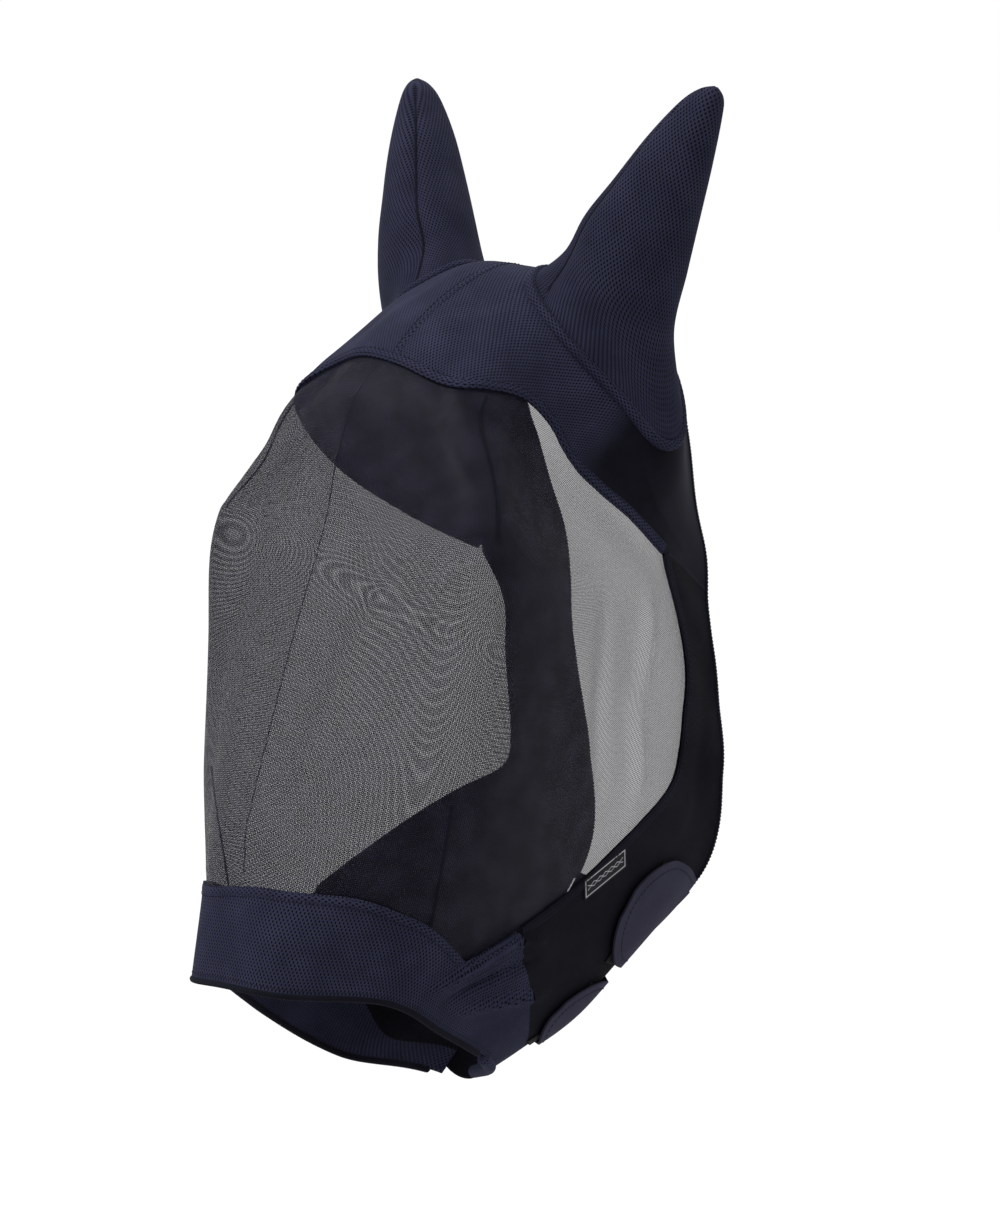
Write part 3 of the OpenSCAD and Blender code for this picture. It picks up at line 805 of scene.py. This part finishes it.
# ---- net ----
netPiece = {"columns": 200, "rows": 130, "low": 0.0009, "wall": 0.00015, "dip": 0.0006}


def tucked(s, t, low, deep, part=0.02):
    # the edges of a panel dip under the hem that covers them
    edge = np.minimum(np.minimum(s, 1 - s), np.minimum(t, 1 - t))
    return low - deep * (1 - smooth(0, part, edge))


netPatch = between(joined("hemRight", "hemLeft"), joined("bandRight", "bandLeft"),
                   chained("rearRight", "cornerRight"), chained("rearLeft", "cornerLeft"))
faceNet = panel("faceNet", netPatch, netPiece["columns"], netPiece["rows"],
                lambda s, t: tucked(s, t, netPiece["low"], netPiece["dip"]), netPiece["wall"])
dress(faceNet, "net", nodes=["face_net"])

seamPiece = {"line": [(3.1, 0), (5, 0), (7.9, 0)], "width": 0.0010, "low": 0.0011, "wall": 0.00012}
centreSeam = ribbon("netCentreSeam", *hoodLine(seamPiece["line"], 200), seamPiece["width"],
                    seamPiece["low"], seamPiece["wall"], columns=2)
dress(centreSeam, "net", nodes=["net_centre_tape"])
darts = {
    "upperLeft": [(2.9, 1.98), (3.6, 1.97), (4.3, 2.0), (4.85, 2.02)],
    "upperRight": [(3.2, -1.98), (3.7, -1.97), (4.3, -2.0), (4.85, -2.02)],
    "lowerLeft": [(7.05, 1.98), (7.5, 2.03), (7.98, 2.1)],
    "lowerRight": [(7.05, -1.98), (7.5, -2.03), (7.98, -2.1)],
}
dartPiece = {"width": 0.0018, "low": 0.0012, "wall": 0.0004, "roll": 0.0002}
netParts = [centreSeam]
for name, points in darts.items():
    dart = ribbon("dart" + name[0].upper() + name[1:], *hoodLine(points, 60), dartPiece["width"],
                  dartPiece["low"], dartPiece["wall"], roll=dartPiece["roll"], columns=4)
    node = name.replace("Left", "_left").replace("Right", "_right")
    netParts.append(dress(dart, "hem", nodes=["dart_tape_" + node]))
print("net made")

# ---- brow ----
ears = {
    1: {"mid": (1.1, 2.4), "radii": (0.74, 1.42), "collar": 0.007, "slim": 0.90, "lean": (0, 0, 0)},
    -1: {"mid": (1.1, 2.4), "radii": (0.74, 1.42), "collar": 0.007, "slim": 1.0,
         "lean": (-0.005, -0.003, 0)},
}
# the painted shade on the rear part of the brow fades in between the last two numbers of v
browPiece = {"around": 260, "out": 44, "spread": 1.15, "paintedShadeFrom": 2.9, "paintedShadeTo": 3.3}
crownCut = {"u": (0, 0.9, 2.0, 3.06), "v": (0, 0.05, 0.23, 0.27)}   # the middle seam wanders to the left
welt = {"radius": 0.0039, "lift": 0.0022, "step": 0.0012, "ribs": 0.00012, "ribPitch": 0.0031}
stepLength = (0.050, 0.044)   # one step of u and of v near the ear


def earRim(side, angle, more=0.0):
    e = ears[side]
    return np.stack([
        e["mid"][0] + (e["radii"][0] + more / stepLength[0]) * np.cos(angle),
        side * (e["mid"][1] + (e["radii"][1] + more / stepLength[1]) * np.sin(angle)),
    ], -1)


def earFoot(side, angle, more=0.0):
    uv = earRim(side, angle)
    return onHood(uv, ears[side]["collar"] + more)


def browEdge(side):
    # the outline of one brow panel, from the crown's hem end round the rear and back
    hem = line["hemLeft" if side > 0 else "hemRight"](np.linspace(0, 1, 90))
    seam = line["seamLeft" if side > 0 else "seamRight"](np.linspace(0, 1, 20))[1:]
    rear = np.stack([np.linspace(3, 0, 40)[1:], np.full(39, 5.0 * side)], -1)
    poll = np.stack([np.zeros(60), side * np.linspace(5, 0, 61)[1:]], -1)
    crownU = np.linspace(0, 3.06, 51)[1:-1]
    crown = np.stack([crownU, np.interp(crownU, crownCut["u"], crownCut["v"]) + 0.003 * side], -1)
    return np.concatenate([hem, seam, rear, poll, crown])


def browPanel(side, name, node):
    edge = browEdge(side)
    place = spot(edge[:, 0], edge[:, 1])[0]
    closed = np.concatenate([edge, edge[:1]])
    run = np.linalg.norm(np.diff(np.concatenate([place, place[:1]]), axis=0), axis=1)
    run = np.concatenate([[0], np.cumsum(run)])
    run /= run[-1]

    def at(s, t):
        s = np.where(s > 1 - 1e-9, 0.0, s)
        p = np.stack([np.interp(s, run, closed[:, 0]), np.interp(s, run, closed[:, 1])], -1)
        middle, radii = ears[side]["mid"], ears[side]["radii"]
        angle = np.arctan2((side * p[:, 1] - middle[1]) / radii[1], (p[:, 0] - middle[0]) / radii[0])
        q = earRim(side, angle, -0.0005)
        f = t ** browPiece["spread"]
        return q + f[:, None] * (p - q), f

    def shape(s, t):
        uv, f = at(s, t)
        return onHood(uv, ears[side]["collar"] * (1 - f) ** 2)

    def paint(s, t):
        # painted shade: the rear part of the brow, beside and behind the ear, is painted darker, where it
        # turns away from the light
        return smooth(browPiece["paintedShadeFrom"], browPiece["paintedShadeTo"], np.abs(at(s, t)[0][:, 1]))

    def weave(s, t):
        return clothLength(at(s, t)[0])

    piece = addGrid(name, browPiece["around"], browPiece["out"], shape, weave, wrap=True, paint=paint)
    smoothShade(thicken(piece, hood["cloth"]))
    return dress(piece, "brow", nodes=[node])


browLeft = browPanel(1, "browPanelLeft", "brow_panel_left")
browRight = browPanel(-1, "browPanelRight", "brow_panel_right")

hemPiece = {"width": 0.0062, "low": 0.0021, "wall": 0.0011, "roll": 0.0009}
crownLine = hoodLine([(0.1, 0), *zip(crownCut["u"][1:3], crownCut["v"][1:3]), (3.0, 0.27)], 90)
crownSeam = ribbon("browCentreSeam", *crownLine, 0.0030, 0.0021, 0.0006, roll=0.0003, columns=4)
dress(crownSeam, "spacer", nodes=["brow_seam_tape"])
share = np.linspace(0, 1, 120)
hemUv = np.concatenate([line["hemRight"](share[::-1]), line["hemLeft"](share)[1:]])
hemUv[:, 0] -= 0.05
hemLine = onHood(hemUv)
browHem = ribbon("browHem", *hemLine, hemPiece["width"], hemPiece["low"], hemPiece["wall"],
                 roll=hemPiece["roll"], columns=10)
dress(browHem, "spacer", nodes=["brow_hem"])
browParts = [
    crownSeam, browHem,
    sew("browHemStitchUpper", *beside(*hemLine, 0.0021), 0.0032),
    sew("browHemStitchLower", *beside(*hemLine, -0.0021), 0.0032),
    sew("crownStitchLeft", *beside(*crownLine, 0.0026), 0.0026),
    sew("crownStitchRight", *beside(*crownLine, -0.0026), 0.0026),
]
print("brow made")

# ---- ears ----
earPiece = {
    # middle, half width across, half depth, tilt in degrees
    "stations": [
        [(76, 18, -12), 42, 34, 40], [(87, 21, 18), 34.5, 33, 30], [(98, 28, 45), 27, 28, 24],
        [(110, 36, 74), 19.5, 21, 22], [(120, 43, 97), 12, 13, 22], [(125, 46.5, 107), 6.5, 7, 22],
        [(127, 48, 111.4), 0.01, 0.01, 22],
    ],
    "seamTurn": -0.7,
    "lean": 12,
    "columns": 64,
    "rows": 96,
    "seat": 0.0028,
    "inset": 0.0028,
    "valley": 0.0026,
    "valleyWidth": 0.10,
    "seamRadius": 0.0011,
}


def earLoop(station, angle):
    middle, wide, deep, tilt = station
    tilt, lean = math.radians(tilt), math.radians(earPiece["lean"])
    across = np.array([math.cos(tilt), 0.12, -math.sin(tilt)])
    back = np.array([0, math.cos(lean), -math.sin(lean)])
    edge = wide * np.sin(angle)[:, None] * across - deep * np.cos(angle)[:, None] * back
    facing = np.sin(angle)[:, None] / wide * across - np.cos(angle)[:, None] / deep * back
    return (np.array(middle) + edge) * 0.001, unit(facing)


def earSurface(side, angle, f):
    # rows of the cover from its foot on the welt to the tip
    rows = [onHood(earRim(side, angle, -earPiece["inset"]), ears[side]["collar"] + earPiece["seat"])[0]]
    sides = []
    for number, station in enumerate(earPiece["stations"]):
        middle, wide, deep, tilt = station
        slim = ears[side]["slim"]
        place, facing = earLoop((middle, wide * slim, deep * slim, tilt), angle)
        lean = np.array(ears[side]["lean"]) * max(0, 1 - 0.3 * number)
        rows.append(place * (mirror if side < 0 else 1) + lean)
        sides.append(facing * (mirror if side < 0 else 1))
    sides = np.array([sides[0], *sides])
    rows = np.array(rows)
    last = len(rows) - 1
    a = np.clip(f * last, 0, last - 1e-9)
    i = a.astype(int)
    w, slope = curveWeights(a - i), curveSlopes(a - i)
    pick = np.clip(i[:, None] + np.arange(-1, 3), 0, last)
    index = np.arange(len(angle))
    place = sum(w[:, k:k + 1] * rows[pick[:, k], index] for k in range(4))
    way = unit(sum(slope[:, k:k + 1] * rows[pick[:, k], index] for k in range(4)))
    facing = sum(w[:, k:k + 1] * sides[pick[:, k], index] for k in range(4))
    facing = unit(facing - (facing * way).sum(-1, keepdims=True) * way)
    return place, facing


def earDent(side, angle, f):
    # the seams pull in, and the worn cloth is a little dented
    fromSeam = (angle - earPiece["seamTurn"]) / 2
    seam = np.minimum(np.abs(np.sin(fromSeam)), np.abs(np.cos(fromSeam)))
    valley = -earPiece["valley"] * np.exp(-((seam / earPiece["valleyWidth"]) ** 2))
    valley = valley * (1 - 0.6 * smooth(0.75, 1, f))
    ripple = 0.0009 * np.sin(3 * angle + 5 * f + side) * np.sin(np.pi * f)
    sag = -0.0022 * np.exp(-(((f - 0.33) / 0.16) ** 2)) * np.maximum(np.cos(angle - 0.6), 0)
    return valley + ripple + sag


def earCloth(side):
    # the cover's girth and its length up the ear, at shares of its height
    turn = np.linspace(0, 2 * np.pi, 25)
    shares = np.linspace(0, 1, 60)
    rings = np.array([earSurface(side, turn, np.full(25, f))[0] for f in shares])
    girth = np.linalg.norm(np.diff(rings, axis=1), axis=-1).sum(1)
    rise = np.linalg.norm(np.diff(rings, axis=0), axis=-1).mean(1)
    return shares, girth, np.concatenate([[0], np.cumsum(rise)])


def earHalf(side, start, name, node):
    shares, girth, rise = earCloth(side)

    def shape(s, t):
        gap = 0.006 + 0.02 * t
        angle = start + gap + (math.pi - 2 * gap) * s
        place, facing = earSurface(side, angle, t)
        return place + earDent(side, angle, t)[:, None] * facing, facing

    def weave(s, t):
        return np.stack([(s - 0.5) * np.interp(t, shares, girth) / 2, np.interp(t, shares, rise)], -1)

    piece = addGrid(name, earPiece["columns"], earPiece["rows"], shape, weave, wrap=True)
    smoothShade(thicken(piece, hood["cloth"]))
    return dress(piece, "ear", nodes=[node])


earParts = {}
for side, word in ((1, "Left"), (-1, "Right")):
    low = word.lower()
    turn = np.linspace(0, 2 * np.pi, 241)[:-1]
    outer = earHalf(side, earPiece["seamTurn"], "ear" + word + "Outer", "ear_" + low + "_outer")
    inner = earHalf(side, earPiece["seamTurn"] + math.pi, "ear" + word + "Inner", "ear_" + low + "_inner")
    ring = earFoot(side, turn, welt["lift"])
    weltPiece = cord("earWelt" + word, *ring, welt["radius"], closed=True, ribs=welt["ribs"],
                     ribPitch=welt["ribPitch"], sides=18, step=welt["step"])
    dress(weltPiece, "spacer", nodes=["ear_welt_" + low])
    seams = []
    for at, part in ((0.0, "Front"), (math.pi, "Back")):
        f = np.linspace(0.02, 0.97, 120)
        angle = np.full(120, at + earPiece["seamTurn"])
        place, facing = earSurface(side, angle, f)
        place = place + (earDent(side, angle, f) + hood["cloth"] - 0.0004)[:, None] * facing
        seam = cord("earSeam" + word + part, place, facing, earPiece["seamRadius"], sides=8, step=0.0012,
                    taper=0.003)
        seams.append(dress(seam, "binding"))
    ridge = earFoot(side, turn, welt["lift"] + welt["radius"])
    stitches = sew("earWeltStitch" + word, *ridge, 0.0, closed=True)
    earParts[side] = [outer, inner, *seams, stitches]
print("ears made")

# ---- cheeks and nose band ----
cheekPiece = {"columns": 72, "rows": 130}


def cheek(side, name, node):
    word = "Left" if side > 0 else "Right"
    rearEdge = through([(3.0, 5.0 * side), (5.5, 5.0 * side), tuple(line["chin" + word](1.0))])
    patch = between(line["seam" + word], line["chin" + word], line["rear" + word], rearEdge)
    piece = panel(name, patch, cheekPiece["columns"], cheekPiece["rows"], 0.0, hood["cloth"])
    return dress(piece, "knit", nodes=[node])


cheekLeft = cheek(1, "cheekPanelLeft", "cheek_panel_left")
cheekRight = cheek(-1, "cheekPanelRight", "cheek_panel_right")
windowPiece = {"width": 0.0058, "low": 0.0021, "wall": 0.0009, "roll": 0.0007, "stitch": 0.0016}
cheekParts = {}
for side, word in ((1, "Left"), (-1, "Right")):
    low = word.lower()
    edge = line["rear" + word](np.linspace(0.0, 1.0, 200))
    edge[:, 1] += 0.03 * side
    windowEdge = onHood(edge)
    tape = ribbon("windowHem" + word, *windowEdge, windowPiece["width"], windowPiece["low"],
                  windowPiece["wall"], roll=windowPiece["roll"], columns=8)
    dress(tape, "hem", nodes=["window_tape_" + low])
    seamLine = hoodLine(cut["seam" + word], 60)
    seamTape = ribbon("cheekSeam" + word, *seamLine, 0.0030, 0.0021, 0.0006, roll=0.0003, columns=4)
    dress(seamTape, "hem", nodes=["cheek_seam_tape_" + low])
    cheekParts[side] = [
        tape, seamTape,
        sew("windowStitch" + word, *beside(*windowEdge, windowPiece["stitch"]), 0.0031),
        sew("windowStitchOuter" + word, *beside(*windowEdge, -windowPiece["stitch"]), 0.0031),
    ]
print("cheeks made")

bandPiece = {"columns": 220, "rows": 40, "weaveU": 8.5, "endU": 8.975}
bandEdge = np.concatenate([
    line["cornerRight"](np.linspace(0, 1, 12)), line["bandRight"](np.linspace(1, 0, 90))[1:],
    line["bandLeft"](np.linspace(0, 1, 90))[1:], line["cornerLeft"](np.linspace(1, 0, 12))[1:],
])
bandTop = np.concatenate([
    line["chinRight"](np.linspace(1, 0, 50)), bandEdge[1:], line["chinLeft"](np.linspace(0, 1, 50))[1:],
])


def bandPatch(s, t):
    # rows between the band's seam and the rim; columns run round the nose
    v = -5 + 10 * s
    u = np.interp(v, bandTop[:, 1], bandTop[:, 0])
    return np.stack([u + (bandPiece["endU"] - u) * t, v], -1)


def bandWeave(s, t):
    # the band's cloth runs round the nose, and is measured up from its rim
    uv = bandPatch(s, t)
    u, v = np.clip(uv[:, 0], 0, 9), uv[:, 1]
    along = np.sign(v) * lengthTable(np.full(len(v), bandPiece["weaveU"]), np.abs(v), acrossTable)
    end = lengthTable(np.full(len(v), bandPiece["endU"]), np.abs(v), downTable)
    return np.stack([along, lengthTable(u, np.abs(v), downTable) - end], -1)


noseBand = panel("noseBand", bandPatch, bandPiece["columns"], bandPiece["rows"], 0.0, hood["cloth"],
                 bandWeave)
dress(noseBand, "spacer", nodes=["nose_band"])
seamEdge = bandEdge + np.array([0.045, 0])
bandLine = onHood(seamEdge)
noseTape = ribbon("noseBandSeam", *bandLine, 0.0036, 0.0021, 0.0007, roll=0.0004, columns=5)
dress(noseTape, "spacer", nodes=["nose_tape"])
rimPiece = {"from": -4.9, "to": 3.63, "radius": 0.0022, "ribs": 0.00012, "ribPitch": 0.0016}
rimUv = np.stack([np.full(240, 8.99), np.linspace(rimPiece["from"], rimPiece["to"], 240)], -1)
rimPlace = onHood(rimUv, hood["cloth"] / 2)
noseRim = cord("noseRimBinding", *rimPlace, rimPiece["radius"], ribs=rimPiece["ribs"],
               ribPitch=rimPiece["ribPitch"], sides=14, step=0.0008, taper=0.003)
dress(noseRim, "binding", nodes=["nose_rim_binding"])
rollPiece = {"from": 3.72, "to": 4.78, "radius": 0.0040}
rollUv = np.stack([np.full(60, 9.0), np.linspace(rollPiece["from"], rollPiece["to"], 60)], -1)
rollPlace = onHood(rollUv, hood["cloth"] / 2)
chinRoll = cord("chinRoll", *rollPlace, rollPiece["radius"], sides=20, step=0.0008, taper=0.004)
dress(chinRoll, "spacer", nodes=["chin_roll"])
rimStitchLine = onHood(np.stack([np.full(240, 8.92), np.linspace(-4.8, 3.7, 240)], -1))
bandParts = [
    noseTape, noseRim,
    sew("noseBandStitch", *beside(*bandLine, -0.0030), 0.0026),
    sew("noseRimStitch", *rimStitchLine, hood["cloth"] + 0.0001),
]
print("nose band made")

# ---- rear binding ----
rearPiece = {"radius": 0.0026, "endU": 7.25, "lift": 0.0008, "ribs": 0.00028, "ribPitch": 0.0024}
rearUv = np.concatenate([
    np.stack([np.linspace(rearPiece["endU"], 0.4, 160), np.full(160, -5.0)], -1),
    np.stack([np.linspace(0.25, 0.04, 5), np.linspace(-4.97, -4.85, 5)], -1),
    np.stack([np.zeros(200), np.linspace(-4.75, 4.75, 200)], -1),
    np.stack([np.linspace(0.04, 0.25, 5), np.linspace(4.85, 4.97, 5)], -1),
    np.stack([np.linspace(0.4, rearPiece["endU"], 160), np.full(160, 5.0)], -1),
])
rearLine = onHood(rearUv, rearPiece["lift"])
rearBinding = cord("rearEdgeBinding", *rearLine, rearPiece["radius"], ribs=rearPiece["ribs"],
                   ribPitch=rearPiece["ribPitch"], sides=16, step=0.0006, taper=0.003)
dress(rearBinding, "binding", nodes=["rear_edge_binding"])
print("rear binding made")

# ---- label ----
labelPiece = {"ends": [(7.42, 3.30), (7.08, 3.60)], "low": 0.0026, "wall": 0.0007}
labelPlace, labelOut = hoodLine(labelPiece["ends"], 300)
labelRun = np.concatenate([[0], np.cumsum(np.linalg.norm(np.diff(labelPlace, axis=0), axis=1))])
kept = labelRun <= labelLook["length"]
print("label length", round(labelRun[kept][-1], 4))
label = ribbon("labelPatch", labelPlace[kept], labelOut[kept], labelLook["width"], labelPiece["low"],
               labelPiece["wall"], columns=14)
dress(label, "label", nodes=["label_patch"])

# ---- closure ----
closure = {
    "tabs": {"upper": 7.43, "lower": 8.17},
    "halfU": 0.32,   # half a tab's width, as a share of one step of u
    "runV": 1.14,
    "startV": 4.85,
    "tapeWall": 0.0008,
    "loopV": (3.9, 4.64),
    "hookV": (4.08, 4.6),
    "loopLow": 0.0028,
    "hookLow": 0.0040,
    "tabLow": 0.0052,
    "tabWall": 0.0014,
    "flapLow": 0.0034,
    "flapWall": 0.0014,
    "flapU": (7.2, 8.92),
    "flapV": 4.7,
    "sag": 0.007,
    "bridge": 0.8,
    "roundFrom": 0.65,
    "roundDepth": 0.94,
}


def touchPatch(name, us, vs, low, look, body, node):
    # a piece of touch tape between two values of u and two of v
    def patch(s, t):
        return np.stack([us[0] + (us[1] - us[0]) * s, vs[0] + (vs[1] - vs[0]) * t], -1)

    piece = panel(name, patch, 24, 30, low, closure["tapeWall"])
    return dress(piece, look, body, [node])


half = closure["halfU"]
loops = {
    "upper": (closure["tabs"]["upper"] - 0.9 * half, closure["tabs"]["upper"] + half),
    "lower": (closure["tabs"]["lower"] - 0.9 * half, closure["tabs"]["lower"] + 1.25 * half),
}
touchParts = []
for word, us in loops.items():
    touchParts.append(touchPatch("loopPatch" + word.title(), us, closure["loopV"], closure["loopLow"],
                                 "loop", "hood", "loop_patch_" + word))


def flapPoint(s, t):
    # t crosses from the far edge of the jaw under the throat to the near cheek
    u = closure["flapU"][0] + (closure["flapU"][1] - closure["flapU"][0]) * s
    bridge = closure["bridge"]
    f = np.clip(t / bridge, 0, 1)
    a, an = onHood(np.stack([u, np.full_like(u, -5.0)], -1))
    b, bn = onHood(np.stack([u, np.full_like(u, 5.0)], -1))
    f1 = f[:, None]
    facing = unit((1 - f1) * an + f1 * bn + np.array([0, 0, -1]) * (0.6 * f * (1 - f))[:, None])
    low = f * closure["flapLow"] + 4 * f * (1 - f) * closure["sag"]
    place = (1 - f1) * a + f1 * b + low[:, None] * facing
    v = 5 - (5 - closure["flapV"]) * np.clip((t - bridge) / (1 - bridge), 0, 1)
    lap, lapOut = onHood(np.stack([u, v], -1), closure["flapLow"])
    onLap = (t > bridge)[:, None]
    return np.where(onLap, lap, place), np.where(onLap, lapOut, facing)


def flapShape(s, t):
    return flapPoint(s, 0.012 + t * (1 - 0.012))


flap = addGrid("closureFlap", 90, 80, flapShape, lambda s, t: np.stack([s * 0.12, t * 0.085], -1))
smoothShade(thicken(flap, closure["flapWall"]))
dress(flap, "knit", body=None, nodes=["closure_flap"])
jointByName = {j["name"]: j for j in frame["joints"]}


def bendAt(piece, joint, ahead):
    # the piece's place is baked into its mesh; the joint's axis and the way ahead are worked out, but
    # nothing turns
    axis = Vector(jointByName[joint]["axis"])
    way = Vector(ahead)
    way = (way - way.dot(axis) * axis).normalized()
    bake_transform(piece)


bendAt(flap, "flap_hinge", (1, 0, -0.1))
print("closure flap made")


def tabPoint(middle, s, t):
    # a tab is as wide as its sewn end, then its tip is rounded
    past = np.maximum(t - closure["roundFrom"], 0) / (1 - closure["roundFrom"])
    width = np.sqrt(1 - closure["roundDepth"] * past ** 2)
    u = middle + (2 * s - 1) * half * width
    v = closure["startV"] - closure["runV"] * t
    return np.stack([u, v], -1)


tabSeam = {"inset": 0.06, "start": 0.10, "turn": 0.62, "reach": 0.33}
tabs, tabParts = {}, {}
for word, middle in closure["tabs"].items():
    title = word.title()
    body = word + "_tab"

    def shape(s, t, middle=middle):
        return onHood(tabPoint(middle, s, t), closure["tabLow"])

    weave = lambda s, t: np.stack([(s - 0.5) * 0.048, t * 0.085], -1)
    tab = addGrid("tab" + title, 40, 80, shape, weave)
    smoothShade(thicken(tab, closure["tabWall"]))
    dress(tab, "brushed", body=None, nodes=["tab_" + word])
    way = spot(middle, 4.6)[0] - spot(middle, 4.85)[0]
    bendAt(tab, word + "_tab_peel", way)
    hook = touchPatch("hookPatch" + title, (middle - 0.8 * half, middle + 0.8 * half), closure["hookV"],
                      closure["hookLow"], "hook", body, "hook_patch_" + word)
    # a row of stitches round the tab, just inside its edge
    inset, bend = tabSeam["inset"], np.linspace(0, np.pi, 40)
    run = np.linspace(tabSeam["start"], tabSeam["turn"], 60)
    up = tabSeam["turn"] + tabSeam["reach"] * np.sin(bend)
    tip = np.stack([0.5 - (0.5 - inset) * np.cos(bend), up], -1)
    turn = np.concatenate([
        np.stack([np.full(60, inset), run], -1), tip[1:],
        np.stack([np.full(60, 1 - inset), run[::-1]], -1)[1:],
    ])
    uv = tabPoint(middle, turn[:, 0], np.minimum(turn[:, 1], 0.64))
    uv[:, 1] = closure["startV"] - closure["runV"] * turn[:, 1]
    uv[:, 0] = middle + (2 * turn[:, 0] - 1) * half * 0.98
    top = closure["tabLow"] + closure["tabWall"] + 0.0001
    tabs[word] = tab
    tabParts[word] = [hook, sew("tabStitch" + title, *onHood(uv), top, body=body)]
print("tabs made")

# ---- how the cloths lie ----
# each cloth, whether it is stretched, hung or laid, the pieces it rests on, and the trims that go with it.
# The closure flap's, the tabs' and the loop patches' widths and lengths are rough: they were chosen to suit
# the area, which was measured
sheets = [
    (faceNet, "stretched", ["noseBand"], netParts),
    (browLeft, "stretched", ["earWeltLeft"], browParts),
    (browRight, "stretched", ["earWeltRight"], []),
    (cheekLeft, "hung", ["browPanelLeft"], cheekParts[1]),
    (cheekRight, "hung", ["browPanelRight"], cheekParts[-1]),
    (noseBand, "stretched", ["faceNet"], bandParts),
    (label, "laid", ["cheekPanelLeft"], []),
    (flap, "hung", ["cheekPanelRight", "cheekPanelLeft"], []),
    (tabs["upper"], "laid", ["closureFlap", "loopPatchUpper"], tabParts["upper"]),
    (tabs["lower"], "laid", ["closureFlap", "loopPatchLower"], tabParts["lower"]),
    (touchParts[0], "laid", ["cheekPanelLeft"], []),
    (touchParts[1], "laid", ["cheekPanelLeft"], []),
]
for side, rests in ((1, ["earWeltLeft"]), (-1, ["earWeltRight"])):
    outer, inner, *trims = earParts[side]
    sheets += [(outer, "stretched", rests, trims), (inner, "stretched", rests, [])]

# ---- studio ----
studio = {"floorDrop": 1.6, "floorSize": 60, "floorColour": 0.25, "floorGlow": 0.76, "worldGlow": 1.0,
          "target": (0.0025, -0.010, -0.2098), "distance": 3.28, "azimuth": 44, "elevation": 7.25,
          "lens": 156.6}
bpy.ops.object.select_all(action="DESELECT")
bpy.ops.mesh.primitive_plane_add(size=studio["floorSize"], location=(0, 0, cadLow[2] - studio["floorDrop"]))
floor = bpy.context.object
floor.name = "studioFloor"
floorMaterial, _, floorSurface = startMaterial("paleFloor", 0.9, specular=0.1)
floorSurface.inputs["Base Color"].default_value = (*[studio["floorColour"]] * 3, 1)
floorSurface.inputs["Emission Color"].default_value = (1, 1, 1, 1)
floorSurface.inputs["Emission Strength"].default_value = studio["floorGlow"]
floor.data.materials.append(floorMaterial)

world = bpy.data.worlds.new("studioWorld")
bpy.context.scene.world = world
world.use_nodes = True
background = world.node_tree.nodes["Background"]
background.inputs["Color"].default_value = (1, 1, 1, 1)
background.inputs["Strength"].default_value = studio["worldGlow"]
bpy.context.scene.view_settings.view_transform = "Standard"

lights = [
    # place, size, power, aimed at the middle of the mask
    ((-1.0, -1.9, 3.0), 1.6, 170),
    ((1.9, -1.6, 0.6), 1.4, 2),
    ((0.4, 1.8, 1.8), 1.4, 20),
]
target = Vector(studio["target"])
for number, (place, size, power) in enumerate(lights):
    bpy.ops.object.light_add(type="AREA", location=place)
    lamp = bpy.context.object
    lamp.name = "studioLight" + str(number)
    lamp.data.size, lamp.data.energy = size, power
    lamp.rotation_euler = (target - Vector(place)).to_track_quat("-Z", "Y").to_euler()

azimuth, elevation = math.radians(studio["azimuth"]), math.radians(studio["elevation"])
back = Vector((math.sin(azimuth) * math.cos(elevation), -math.cos(azimuth) * math.cos(elevation),
               math.sin(elevation)))
bpy.ops.object.camera_add(location=target + studio["distance"] * back)
camera = bpy.context.object
camera.rotation_euler = (-back).to_track_quat("-Z", "Y").to_euler()
camera.data.lens = studio["lens"]
camera.data.sensor_width = 36
bpy.context.scene.camera = camera
print("studio set")
